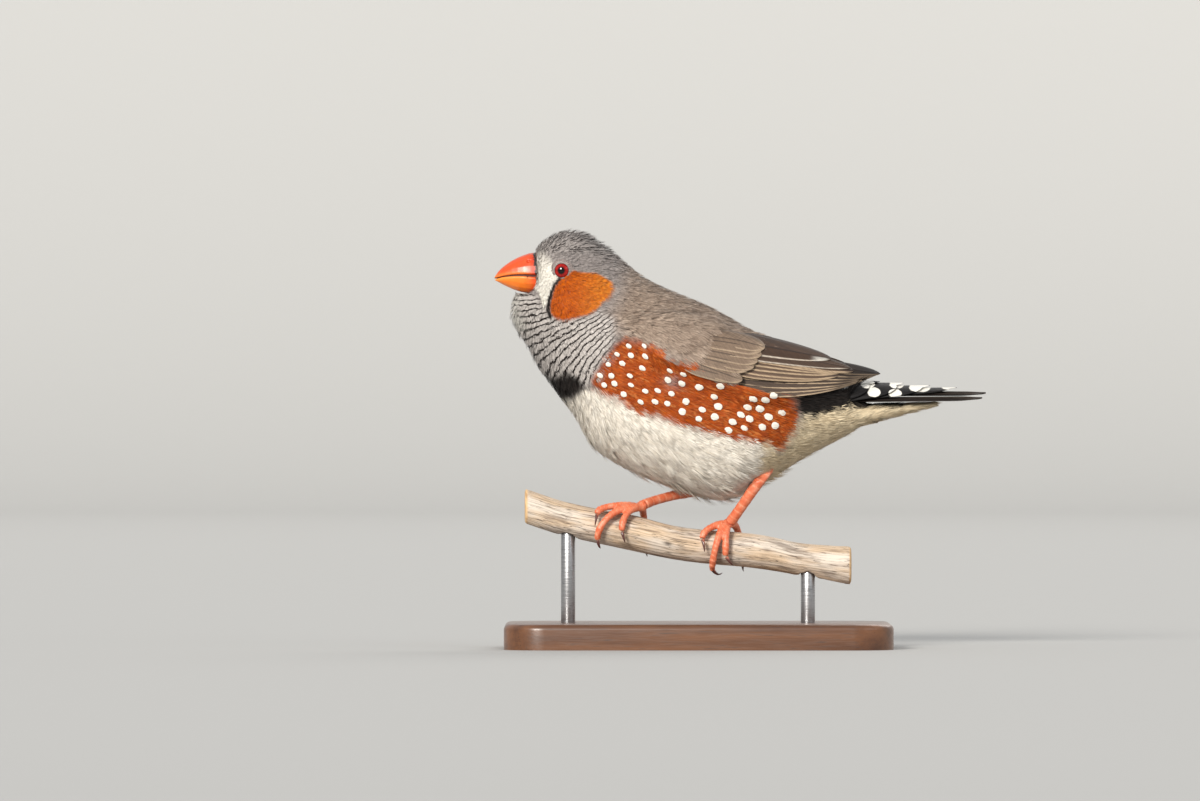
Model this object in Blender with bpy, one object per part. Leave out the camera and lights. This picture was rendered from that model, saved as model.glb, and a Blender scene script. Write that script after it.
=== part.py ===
"""A male zebra finch on a short cut perch, held by a plain display stand, at life size.

Lengths are in millimetres here and become metres when a mesh is made. The bird faces -X, its left side
faces -Y, +Z is up, and the origin is on the floor under the middle of the bird's length.
"""
import bmesh
import bpy
import math
import random
from mathutils import Matrix, Vector

MM = 0.001
GAP = 0.3                   # clearance between pieces that touch
LEFT = Vector((0, -1, 0))

# Rings of the body from the back of the head: top x, top z, bottom x, bottom z, half width
BODY_RINGS = [
    (-34.0, 82.0, -44.2, 63.8, 8.1),
    (-30.0, 81.4, -42.6, 60.9, 8.7),
    (-26.0, 78.8, -40.8, 57.9, 9.6),
    (-21.5, 75.4, -38.6, 53.8, 11.1),
    (-17.0, 72.0, -35.4, 49.4, 12.6),
    (-11.5, 69.6, -32.2, 45.1, 13.5),
    (-6.0, 67.3, -28.2, 38.7, 14.2),
    (-0.5, 64.3, -20.9, 34.5, 14.5),
    (4.5, 61.4, -12.0, 31.0, 14.3),
    (9.5, 58.4, -3.0, 28.9, 13.3),
    (13.5, 56.9, 4.4, 32.2, 11.8),
    (17.5, 55.0, 11.5, 36.6, 9.4),
    (20.0, 53.8, 17.4, 39.8, 7.8),
    (22.0, 52.6, 22.0, 42.0, 6.6),
]
HEAD_END = 1.6              # ring numbers where the body is parted
NECK_END = 3.2
CUT = 0.08                  # width of those cuts, in rings
TAIL_ROOT_X = 22.0
BODY_SIDES = 24
HEAD_LOOPS = 15             # loops of points along each part
THROAT_LOOPS = 13
NECK_LOOPS = 6
TORSO_LOOPS = 23

# Rings of the head from the bill's root back, in the same terms; the last one is the neck's cut
HEAD_RINGS = [
    (-40.3, 77.9, -39.4, 69.3, 4.0),
    (-39.2, 79.4, -40.0, 68.6, 5.7),
    (-37.1, 80.9, -41.0, 67.2, 7.2),
    (-34.0, 82.0, -41.8, 64.9, 8.1),
    (-30.4, 81.6, -41.9, 62.0, 8.7),
]
# Rings of the full throat, which leans out under the bill, in the same terms
THROAT_RINGS = [
    (-41.4, 74.6, -42.6, 71.0, 1.2),
    (-40.8, 76.4, -44.1, 69.4, 3.2),
    (-38.6, 79.2, -44.8, 66.9, 5.6),
    (-34.6, 81.0, -44.3, 63.8, 7.5),
    (-30.4, 80.8, -42.6, 60.9, 8.7),
]
CHEEK_TOP = (-36.0, 75.0)   # where the throat's side dies into the cheek

# Rings that the folded wings lie on: the torso's, then clear of the rump and out to the wing tips
WING_RINGS = BODY_RINGS[2:8] + [
    (4.5, 62.0, -12.0, 31.0, 14.6),
    (9.5, 60.6, -3.0, 29.5, 13.9),
    (14.0, 59.4, 5.0, 33.0, 12.6),
    (18.0, 57.6, 11.5, 37.0, 10.0),
    (22.0, 55.6, 17.5, 41.0, 8.0),
    (26.0, 54.9, 23.5, 45.5, 6.2),
    (30.0, 54.5, 29.5, 49.5, 5.0),
]
# Folded wing seen from the side: upper edge x, z and lower edge x, z
WING_EDGES = [
    (-24.0, 63.2, -24.0, 61.4),
    (-16.0, 65.6, -18.0, 57.5),
    (-8.0, 64.6, -10.0, 54.6),
    (0.0, 62.0, -2.0, 51.4),
    (6.0, 60.0, 6.0, 49.8),
    (12.0, 57.9, 12.0, 50.2),
    (18.0, 55.6, 18.0, 51.4),
    (23.0, 54.1, 23.0, 52.3),
    (27.4, 53.9, 27.4, 53.3),
]
WING_SEAT = 0.5             # clearance of a wing's inner face over the torso's smooth surface
WING_EDGE = 0.6
WING_CROWN = 1.1
ARM_END = 4.7               # place along the wing's edges where its fleshy part ends
ARM_LOOPS = 12
ARM_SIDES = 5

# Rows of wing feathers, upper to lower: count, first root, last root, first tip, last tip (all x, z seen
# from the side), half width, lift of the root and of the tip over the torso, and bluntness of the tip
WING_ROWS = {
    "primaries": (6, (0.0, 57.4), (-4.0, 53.6), (27.6, 53.7), (19.4, 51.2), 1.6, 0.85, 0.85, 0.25),
    "secondaries": (5, (-2.0, 60.2), (-7.0, 54.6), (21.3, 54.5), (12.6, 50.6), 2.0, 1.45, 1.4, 0.55),
    "tertials": (3, (-5.0, 62.8), (-5.0, 60.0), (11.6, 58.6), (20.6, 55.4), 2.5, 2.1, 1.95, 0.6),
    "greater_coverts": (7, (-9.0, 62.4), (-14.0, 57.0), (5.4, 59.6), (0.0, 52.0), 1.9, 2.3, 2.3, 0.75),
    "median_coverts": (6, (-17.0, 64.0), (-19.0, 59.6), (-4.0, 62.6), (-8.6, 54.8), 1.9, 2.5, 2.7, 0.8),
}
VANE_THICK = 0.42
VANE_ROLL = 0.16            # rise of a vane's lower edge over its upper edge, as a share of its width
VANE_STEPS = 4
VANE_ROOT = 0.6             # width at the root, as a share of the full width
VANE_WIDENS = 1.2           # how fast it widens from there
VANE_TIP_START = 0.6        # where it starts to narrow towards the tip
ROOT_SINK = 0.25
VANE_BOW = 1.5              # sideways bend of a row's first and last feathers, in degrees round the body

# Tail feathers, stacked from the middle pair on top to the outer pair
TAIL_PAIRS = 6
TAIL_LENGTH = 26.6
TAIL_ROOT_SPREAD = 4.0      # half spread of the roots and of the tips
TAIL_TIP_SPREAD = 3.3
TAIL_STEP_BACK = 0.16       # how much shorter each pair is, times its number squared
TAIL_HALF_WIDTH = 2.0
TAIL_TOP = (49.9, 50.25)    # height of the middle pair at root and tip
TAIL_DROP = (0.12, 0.3)     # of each pair below the one before it
TAIL_ARCH = 0.07            # lean of the outer feathers for each millimetre from the middle
# Tiers of the upper coverts: tip x, count, half spread, root z, tip z, half width
UPPER_TIERS = [
    (29.5, 4, 4.0, 52.0, 52.1, 2.0),
    (35.0, 4, 3.2, 51.6, 51.6, 2.0),
    (41.2, 3, 1.8, 51.2, 51.05, 2.0),
]
# Under coverts: count, half spread, x and z of root and tip, half width
UNDER_VANES = (5, 2.6, (27.0, 46.4), (38.0, 47.7), 1.8)
# Fleshy roots of the tail and its coverts behind the rump's cut: x, top z, bottom z, half width
TAIL_SLABS = {
    "tail": [
        (TAIL_ROOT_X + GAP, 50.35, 48.7, 6.1),
        (25.0, 50.3, 48.75, 5.8),
        (28.0, 50.15, 48.9, 5.2),
    ],
    "tail_coverts_upper": [
        (TAIL_ROOT_X + GAP, 52.6, 50.85, 5.8),
        (25.0, 52.5, 50.8, 5.2),
        (28.0, 52.0, 50.8, 4.0),
    ],
    "tail_coverts_under": [
        (TAIL_ROOT_X + GAP, 48.35, 42.1, 6.2),
        (27.0, 48.3, 43.9, 5.1),
        (31.0, 48.2, 45.6, 4.0),
        (34.0, 48.1, 46.9, 2.6),
    ],
}

# Bill rings from root to tip: ridge x, z, mouth line x, z, keel x, z, half width
BILL_RINGS = [
    (-40.4, 77.6, -39.8, 72.9, -39.3, 69.6, 3.6),
    (-42.2, 77.0, -41.9, 73.1, -41.4, 69.7, 3.3),
    (-44.2, 76.1, -44.0, 73.1, -43.6, 70.2, 2.7),
    (-46.1, 74.8, -46.0, 72.9, -45.7, 71.1, 1.8),
    (-47.3, 73.6, -47.2, 72.6, -47.0, 71.8, 0.9),
    (-47.9, 72.6, -47.8, 72.4, -47.6, 72.1, 0.25),
]
MOUTH_GAP = 0.15
BILL_SIDES = 16
BILL_LOOPS = 10
BILL_RIDGE = 0.94           # height of each half's widest line, as a share from its top down
BILL_KEEL = 0.08
FACE_ROOM = 12.0            # how far the open space in front of the face reaches
NOSTRIL = (-41.3, 75.9)
NOSTRIL_RADIUS = 0.45

EYE = (-34.8, 74.3)
EYE_RADIUS = 2.1
EYE_DEPTH = 1.35            # of the eye's centre under the head's surface
LID_RADIUS = 1.95
LID_THICK = 0.42
EYE_FORWARD = 0.16

# Cut branch: x, top z, bottom z
PERCH_RINGS = [
    (-42.0, 31.3, 24.4),
    (-36.0, 29.3, 22.3),
    (-30.0, 27.9, 20.9),
    (-25.0, 27.2, 19.8),
    (-20.0, 26.3, 18.7),
    (-14.0, 24.6, 17.4),
    (-8.0, 23.6, 16.5),
    (0.0, 22.8, 15.8),
    (6.0, 22.0, 15.2),
    (10.0, 21.1, 14.5),
    (16.0, 20.4, 13.6),
    (22.0, 20.1, 12.3),
]
PERCH_Y = -1.0
PERCH_SIDES = 16
PERCH_LOOPS = 23
PERCH_REST = -0.15          # of the bark-free surface to the rings' outline, and how far its waves may rise
PERCH_RISE = 0.1
KNOT_RISE = 0.3             # a swelling above this is a knot, which may rise further
PERCH_WAVES = ((2, 0.030, 0.4), (3, 0.022, 1.9), (5, 0.012, 0.7))
KNOTS = ((-13.9, 100, 0.55), (5.5, 80, 0.35), (17.0, -60, 0.6))
KNOT_SPREAD = 2.2

# Legs from inside the belly to just above the toes: x, y, z, radius
LEG_PATHS = {
    "left": [
        (8.0, -6.4, 39.0, 1.6),
        (5.2, -7.2, 34.9, 1.35),
        (2.2, -6.4, 30.4, 1.1),
        (-0.4, -4.6, 26.6, 1.05),
        (-1.6, -3.3, 24.9, 1.15),
    ],
    "right": [
        (-3.0, 5.6, 33.5, 1.5),
        (-9.0, 4.8, 30.9, 1.25),
        (-12.6, 3.4, 30.0, 1.0),
        (-16.4, 0.8, 29.0, 0.95),
        (-18.6, -1.2, 28.2, 1.05),
    ],
}
# Toes on the perch: side x of the tip, turn round the branch at the tip, then the same for the claw's tip
TOES = {
    "left": {
        "root": (-2.2, 16),
        "inner": (-2.7, 106, -1.3, 128),
        "middle": (-5.3, 152, -3.4, 186),
        "outer": (-7.2, 70, -6.8, 99),
        "hind": (0.6, -112, 0.9, -146),
    },
    "right": {
        "root": (-19.4, 12),
        "inner": (-23.0, 90, -22.4, 114),
        "middle": (-27.8, 122, -27.2, 146),
        "outer": (-27.8, 60, -28.2, 88),
        "hind": (-18.4, -108, -18.0, -140),
    },
}
TOE_RADIUS = 0.8
TOE_TIP_RADIUS = 0.6
TOE_SWELL = 0.12            # of the pads under the joints
TOE_SEAT = 0.45             # clearance over the branch's smooth surface
TOE_ROOT_RISE = 0.35        # more of it where the toes leave the foot
TOE_LOOPS = 9
FOOT_RADII = (1.1, 1.15, 1.0)
CLAW_LOOPS = 5
CLAW_RADIUS = 0.42
CLAW_TIP_RADIUS = 0.1
CLAW_ARCH = 0.35            # rise of a claw's middle, and fall of its tip
CLAW_FALL = 0.1
LEG_LOOPS = 12
LEG_SIDES = 10
TUBE_SIDES = 7
CLAW_SIDES = 6

BASE_SIZE = (76.0, 46.0, 5.0)
BASE_X = -8.0
BASE_CORNER = 8.0
BASE_EASE = 0.7
ROD_XS = {"front": -33.5, "rear": 13.5}
ROD_RADIUS = 1.4
ROD_SINK = 2.6              # into the base and into the perch
ROD_SIDES = 20

COLOURS = {
    "grey": ((0.30, 0.27, 0.25), 0.8),
    "brown": ((0.27, 0.20, 0.15), 0.8),
    "black": ((0.015, 0.013, 0.012), 0.6),
    "cream": ((0.72, 0.62, 0.48), 0.85),
    "red": ((0.70, 0.12, 0.04), 0.35),
    "orange": ((0.90, 0.28, 0.06), 0.35),
    "leg": ((0.62, 0.20, 0.09), 0.45),
    "eye": ((0.25, 0.01, 0.01), 0.08),
    "claw": ((0.30, 0.16, 0.10), 0.4),
    "branch": ((0.48, 0.39, 0.31), 0.8),
    "walnut": ((0.12, 0.06, 0.03), 0.45),
    "steel": ((0.60, 0.60, 0.60), 0.3),
}


def through(rows, t):
    """Values at place t along rows, on a smooth curve through all of them."""
    i = min(max(int(math.floor(t)), 0), len(rows) - 2)
    f = t - i
    a, b, c, d = (rows[min(max(k, 0), len(rows) - 1)] for k in (i - 1, i, i + 1, i + 2))
    return tuple(
        q + 0.5 * f * (r - p + f * (2 * p - 5 * q + 4 * r - s + f * (3 * (q - r) + s - p)))
        for p, q, r, s in zip(a, b, c, d)
    )


def along(rows, x):
    """Place along rows whose first value is x."""
    low, high = 0.0, len(rows) - 1.0
    for _ in range(40):
        middle = (low + high) / 2
        if through(rows, middle)[0] < x:
            low = middle
        else:
            high = middle
    return low


class Form:
    """A smooth body carried by leaning rings. An angle of 0 is the top and 90 the left side."""

    def __init__(self, rows, middle=0.5):
        self.rows = rows
        self.middle = middle

    def ring(self, t):
        """Top, bottom and half width of the ring at t."""
        tx, tz, bx, bz, width = through(self.rows, t)
        return Vector((tx, 0, tz)), Vector((bx, 0, bz)), width

    def skin(self, t, angle):
        """Point on the surface at ring t."""
        top, bottom, width = self.ring(t)
        centre = top.lerp(bottom, self.middle)
        turn = math.radians(angle)
        reach = top - centre if math.cos(turn) > 0 else centre - bottom
        return centre + reach * math.cos(turn) + LEFT * width * math.sin(turn)

    def normal(self, t, angle):
        """Outward direction at a point of the surface."""
        back = self.skin(t + 0.05, angle) - self.skin(t - 0.05, angle)
        down = self.skin(t, angle + 1) - self.skin(t, angle - 1)
        out = down.cross(back).normalized()
        top, bottom, _ = self.ring(t)
        if out.dot(self.skin(t, angle) - top.lerp(bottom, 0.5)) < 0:
            out.negate()
        return out

    def point(self, t, angle, lift=0.0):
        """Point above the surface."""
        spot = self.skin(t, angle)
        return spot + self.normal(t, angle) * lift if lift else spot

    def locate(self, x, z):
        """Ring and angle of the left side's surface that is seen at x, z from the side."""
        low, high = 0.0, len(self.rows) - 1.0
        spot = Vector((x, 0, z))
        way = 1 if self.rows[-1][0] > self.rows[0][0] else -1
        for _ in range(40):
            t = (low + high) / 2
            top, bottom, _ = self.ring(t)
            if (bottom - top).cross(spot - top).y * way > 0:
                high = t
            else:
                low = t
        top, bottom, _ = self.ring(t)
        share = (spot - top).dot(bottom - top) / (bottom - top).length_squared
        share = min(max(share, 0.004), 0.996)
        over = (self.middle - share) / (self.middle if share < self.middle else 1 - self.middle)
        return t, math.degrees(math.acos(over))

    def rings(self, start, end, count, sides, lift=0.0):
        """Closed rings of points from one place to another."""
        places = [start + (end - start) * k / (count - 1) for k in range(count)]
        return [[self.point(t, 360 * j / sides, lift) for j in range(sides)] for t in places]


BODY = Form(BODY_RINGS)
HEAD = Form(HEAD_RINGS + [through(BODY_RINGS, HEAD_END - CUT / 2)])
THROAT = Form(THROAT_RINGS + [through(BODY_RINGS, HEAD_END - CUT / 2)])
WING_BED = Form(WING_RINGS)
BILL_TOP = Form([(a, b, c, d + MOUTH_GAP, w) for a, b, c, d, _, _, w in BILL_RINGS], BILL_RIDGE)
BILL_LOW = Form([(c, d - MOUTH_GAP, e, f, w) for _, _, c, d, e, f, w in BILL_RINGS], BILL_KEEL)


def finish(name, mesh_data, colour, metallic=0.0):
    """A named object with its own material, from a bmesh."""
    bmesh.ops.recalc_face_normals(mesh_data, faces=mesh_data.faces[:])
    mesh = bpy.data.meshes.new(name)
    mesh_data.to_mesh(mesh)
    mesh_data.free()
    body = bpy.data.objects.new(name, mesh)
    bpy.context.scene.collection.objects.link(body)
    material = bpy.data.materials.new(name)
    material.use_nodes = True
    shader = material.node_tree.nodes["Principled BSDF"]
    tint, roughness = COLOURS[colour]
    shader.inputs["Base Color"].default_value = (*tint, 1)
    shader.inputs["Roughness"].default_value = roughness
    shader.inputs["Metallic"].default_value = metallic
    mesh.materials.append(material)
    return body


def skinned(rings):
    """Bmesh through closed rings of points, with flat ends."""
    made = bmesh.new()
    loops = [[made.verts.new(spot * MM) for spot in ring] for ring in rings]
    count = len(loops[0])
    for first, second in zip(loops, loops[1:]):
        for i in range(count):
            j = (i + 1) % count
            made.faces.new((first[i], first[j], second[j], second[i]))
    made.faces.new(loops[0])
    made.faces.new(loops[-1])
    return made


def tube(path, radii, sides=TUBE_SIDES):
    """Bmesh of a round bar along a path of points."""
    rings = []
    across = None
    for i, spot in enumerate(path):
        ahead = (path[min(i + 1, len(path) - 1)] - path[max(i - 1, 0)]).normalized()
        if across is None:
            across = ahead.orthogonal().normalized()
        across = (across - ahead * across.dot(ahead)).normalized()
        over = ahead.cross(across)
        turns = [2 * math.pi * k / sides for k in range(sides)]
        rings.append([spot + (across * math.cos(a) + over * math.sin(a)) * radii[i] for a in turns])
    return skinned(rings)


def largest_surface(body):
    """Keeps the largest closed surface of an object's mesh."""
    made = bmesh.new()
    made.from_mesh(body.data)
    bmesh.ops.triangulate(made, faces=made.faces[:])
    left = set(made.faces)
    shells = []
    while left:
        shell, edge = set(), [left.pop()]
        while edge:
            face = edge.pop()
            shell.add(face)
            for line in face.edges:
                for other in line.link_faces:
                    if other in left:
                        left.discard(other)
                        edge.append(other)
        shells.append(shell)
    shells.sort(key=lambda shell: sum(face.calc_area() for face in shell))
    loose = [face for shell in shells[:-1] for face in shell]
    bmesh.ops.delete(made, geom=loose, context="FACES")
    made.to_mesh(body.data)
    made.free()


def combine(body, others, operation):
    """Applies one Boolean of a collection of objects to a body, and removes the others."""
    group = bpy.data.collections.new(body.name + "_" + operation.lower())
    bpy.context.scene.collection.children.link(group)
    for other in others:
        group.objects.link(other)
    change = body.modifiers.new(operation, "BOOLEAN")
    change.operation = operation
    change.solver = "EXACT"
    change.operand_type = "COLLECTION"
    change.collection = group
    scene_now = bpy.context.evaluated_depsgraph_get()
    result = bpy.data.meshes.new_from_object(body.evaluated_get(scene_now))
    body.modifiers.clear()
    result.name = body.name
    body.data = result
    for other in others:
        bpy.data.objects.remove(other, do_unlink=True)
    bpy.data.collections.remove(group)
    while len(body.data.materials) > 1:
        body.data.materials.pop()
    largest_surface(body)
    return body


def guide(name, mesh_data):
    """A closed object that only cuts or joins another."""
    body = finish(name, mesh_data, "grey")
    body.hide_render = True
    body.display_type = "WIRE"
    return body


def mirrored(body, name, colour):
    """The right-hand copy of a left-hand piece."""
    made = bmesh.new()
    made.from_mesh(body.data)
    bmesh.ops.mirror(made, geom=made.verts[:] + made.edges[:] + made.faces[:],
                     matrix=Matrix.Identity(4), merge_dist=-1, axis="Y")
    near = [face for face in made.faces if face.calc_center_median().y < 0]
    bmesh.ops.delete(made, geom=near, context="FACES")
    return finish(name, made, colour)


def eye_seat(side):
    """Centre, outward direction and lid centre of an eye."""
    t, angle = HEAD.locate(*EYE)
    rim = HEAD.point(t, angle)
    out = (HEAD.normal(t, angle) + Vector((-EYE_FORWARD, 0, 0))).normalized()
    centre = rim - out * EYE_DEPTH
    flip = Vector((1, side, 1))
    return centre * flip, out * flip, rim * flip


def ball(centre, radius, detail=3):
    """Bmesh of a round ball."""
    made = bmesh.new()
    bmesh.ops.create_icosphere(made, subdivisions=detail, radius=radius * MM,
                               matrix=Matrix.Translation(centre * MM))
    return made


def lid_ring(centre, out):
    """Bmesh of the raised lids round an eye."""
    made = bmesh.new()
    bmesh.ops.create_circle(made, segments=6, radius=LID_THICK * MM,
                            matrix=Matrix.Translation((LID_RADIUS * MM, 0, 0))
                            @ Matrix.Rotation(math.pi / 2, 4, "X"))
    bmesh.ops.spin(made, geom=made.edges[:], cent=(0, 0, 0), axis=(0, 0, 1), angle=2 * math.pi,
                   steps=16, use_merge=True)
    turn = out.to_track_quat("Z", "Y").to_matrix().to_4x4()
    bmesh.ops.transform(made, matrix=Matrix.Translation(centre * MM) @ turn, verts=made.verts[:])
    return made


def bill_seat():
    """Cutters for the space that the two halves of the bill take out of the face."""
    back = Vector((GAP, 0, 0))
    cutters = []
    for half in (BILL_TOP, BILL_LOW):
        rings = half.rings(0, len(BILL_RINGS) - 1, 8, BILL_SIDES, GAP)
        rings[0] = [spot + back for spot in rings[0]]
        rings[-1] = [spot - back for spot in rings[-1]]
        cutters.append(guide("bill_seat", skinned(rings)))
    return cutters


def face_room():
    """Cutter that keeps the throat under the bill's keel and lets its side die into the cheek."""
    keel = [(row[4], row[5] - GAP) for row in BILL_RINGS[:3]]
    front = keel[-1][0] - FACE_ROOM
    side = [CHEEK_TOP] + keel + [(front, keel[-1][1] + 0.4)]
    side += [(front, CHEEK_TOP[1] + FACE_ROOM), (CHEEK_TOP[0], CHEEK_TOP[1] + FACE_ROOM)]
    made = bmesh.new()
    flat = made.faces.new([made.verts.new(Vector((x, -FACE_ROOM, z)) * MM) for x, z in side])
    grown = bmesh.ops.extrude_face_region(made, geom=[flat])
    moved = [item for item in grown["geom"] if isinstance(item, bmesh.types.BMVert)]
    bmesh.ops.translate(made, vec=Vector((0, 2 * FACE_ROOM, 0)) * MM, verts=moved)
    return guide("face_room", made)


def make_head():
    """Head with its throat, the bill's seat, raised lids and the two eye sockets."""
    head = finish("head", skinned(HEAD.rings(0, len(HEAD_RINGS), HEAD_LOOPS, BODY_SIDES)), "grey")
    throat = guide("throat", skinned(THROAT.rings(0, len(THROAT_RINGS), THROAT_LOOPS, BODY_SIDES)))
    combine(throat, [face_room()], "DIFFERENCE")
    added, sockets = [throat], []
    for side in (1, -1):
        centre, out, rim = eye_seat(side)
        added.append(guide("lid", lid_ring(rim, out)))
        sockets.append(guide("socket", ball(centre, EYE_RADIUS + GAP, 2)))
    combine(head, added, "UNION")
    combine(head, sockets + bill_seat(), "DIFFERENCE")


def make_eyes():
    """The two eyeballs."""
    for name, side in (("eye_left", 1), ("eye_right", -1)):
        finish(name, ball(eye_seat(side)[0], EYE_RADIUS), "eye")


def make_bill():
    """Upper bill with its nostrils, and lower bill."""
    end = len(BILL_RINGS) - 1
    upper = finish("bill_upper", skinned(BILL_TOP.rings(0, end, BILL_LOOPS, BILL_SIDES)), "red")
    t, angle = BILL_TOP.locate(*NOSTRIL)
    nostrils = []
    for side in (1, -1):
        spot = BILL_TOP.point(t, angle) * Vector((1, side, 1))
        nostrils.append(guide("nostril", ball(spot, NOSTRIL_RADIUS, 2)))
    combine(upper, nostrils, "DIFFERENCE")
    finish("bill_lower", skinned(BILL_LOW.rings(0, end, BILL_LOOPS, BILL_SIDES)), "orange")


def make_neck_and_torso():
    """Neck, and torso out to the root of the tail."""
    neck = BODY.rings(HEAD_END + CUT / 2, NECK_END - CUT / 2, NECK_LOOPS, BODY_SIDES)
    finish("neck", skinned(neck), "grey")
    torso = BODY.rings(NECK_END + CUT / 2, len(BODY_RINGS) - 1, TORSO_LOOPS, BODY_SIDES)
    finish("torso", skinned(torso), "cream")


def wing_ring(place):
    """Ring of points round the wing's fleshy part: out over its face and back along the torso."""
    ux, uz, lx, lz = through(WING_EDGES, place)
    upper, lower = WING_BED.locate(ux, uz), WING_BED.locate(lx, lz)
    over = range(ARM_SIDES + 1)
    ring = []
    for side, outer in [(side, True) for side in over] + [(side, False) for side in reversed(over)]:
        share = side / ARM_SIDES
        t = upper[0] + (lower[0] - upper[0]) * share
        angle = upper[1] + (lower[1] - upper[1]) * share
        lift = WING_SEAT + (WING_EDGE + arm_crown(place) * math.sin(math.pi * share) if outer else 0)
        ring.append(WING_BED.point(t, angle, lift))
    return ring


def vane(path, half_width, blunt, roll=0.0):
    """Bmesh of one flat feather. path(s) gives its middle line's point, across and out directions.

    The sheet is split into triangles before it gets its thickness, so both faces are split alike.
    """
    made = bmesh.new()
    bmesh.ops.create_grid(made, x_segments=1, y_segments=VANE_STEPS, size=1)
    bmesh.ops.triangulate(made, faces=made.faces[:])
    for vert in made.verts:
        side, share = vert.co.x, (vert.co.y + 1) / 2
        share = 1 - (1 - share) ** 1.4
        spot, across, out = path(share)
        tip = max(0.0, (share - VANE_TIP_START) / (1 - VANE_TIP_START))
        taper = 1 - tip ** (2 + 2 * blunt) * (0.88 - 0.35 * blunt)
        width = half_width * min(1.0, VANE_ROOT + VANE_WIDENS * share) * taper
        vert.co = (spot + across * side * width + out * side * width * roll) * MM
    bmesh.ops.solidify(made, geom=made.faces[:], thickness=VANE_THICK * MM)
    return made


def arm_lift(x, z):
    """Height of the wing's fleshy part over the torso at x, z seen from the side."""
    place = along([((a + c) / 2, b, c, d) for a, b, c, d in WING_EDGES], x)
    ux, uz, lx, lz = through(WING_EDGES, place)
    share = min(max((uz - z) / (uz - lz), 0.06), 0.94)
    return WING_SEAT + WING_EDGE + arm_crown(place) * math.sin(math.pi * share)


def arm_crown(place):
    """Crown of the wing's fleshy part at a place along its edges."""
    return WING_CROWN * math.sin(math.pi * min(1, 0.14 + 0.86 * place / (ARM_END + 0.6)))


def wing_vane(root, tip, half_width, root_lift, tip_lift, blunt, bow):
    """Feather laid on the torso's side from root to tip."""
    first, last = WING_BED.locate(*root), WING_BED.locate(*tip)
    low = min(root_lift, arm_lift(*root) - ROOT_SINK)

    def place(share):
        bend = bow * math.sin(math.pi * share)
        t = first[0] + (last[0] - first[0]) * share
        angle = first[1] + (last[1] - first[1]) * share + bend
        return WING_BED.point(t, angle, low + (tip_lift - low) * min(1, 2.5 * share))

    def path(share):
        spot = place(share)
        ahead = (place(min(1, share + 0.02)) - place(max(0, share - 0.02))).normalized()
        t = first[0] + (last[0] - first[0]) * share
        angle = first[1] + (last[1] - first[1]) * share
        out = WING_BED.normal(t, angle)
        across = out.cross(ahead).normalized()
        if across.z > 0:
            across.negate()
        return spot, across, out

    return vane(path, half_width, blunt, roll=VANE_ROLL)


def make_wings():
    """Folded wings: a fleshy arm with the feathers rooted in it in tiers."""
    draw = random.Random(7)
    arm = skinned([wing_ring(ARM_END * k / (ARM_LOOPS - 1)) for k in range(ARM_LOOPS)])
    wing = finish("wing_left", arm, "brown")
    vanes = []
    for count, root0, root1, tip0, tip1, half_width, root_lift, tip_lift, blunt in WING_ROWS.values():
        for k in range(count):
            share = k / (count - 1)
            root = [a + (b - a) * share for a, b in zip(root0, root1)]
            tip = [a + (b - a) * share + draw.uniform(-0.25, 0.25) for a, b in zip(tip0, tip1)]
            width = half_width * draw.uniform(0.94, 1.06)
            bow = VANE_BOW * (0.5 - share)
            vanes.append(guide("vane", wing_vane(root, tip, width, root_lift, tip_lift, blunt, bow)))
    combine(wing, vanes, "UNION")
    mirrored(wing, "wing_right", "brown")


def slab(rows, sides=12):
    """Bmesh of a flattened tapering form from rows of x, top z, bottom z, half width."""
    form = Form([(x, top, x, low, width) for x, top, low, width in rows])
    return skinned(form.rings(0, len(rows) - 1, 2 * len(rows), sides))


def tail_vane(root, tip, half_width, blunt, lean):
    """Feather lying flat behind the rump, with its outer edge lower by lean."""
    def path(share):
        spot = root.lerp(tip, share)
        out = Vector((0, lean * spot.y, 1)).normalized()
        across = out.cross(tip - root).normalized()
        return spot, across, out

    return vane(path, half_width, blunt)


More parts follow.
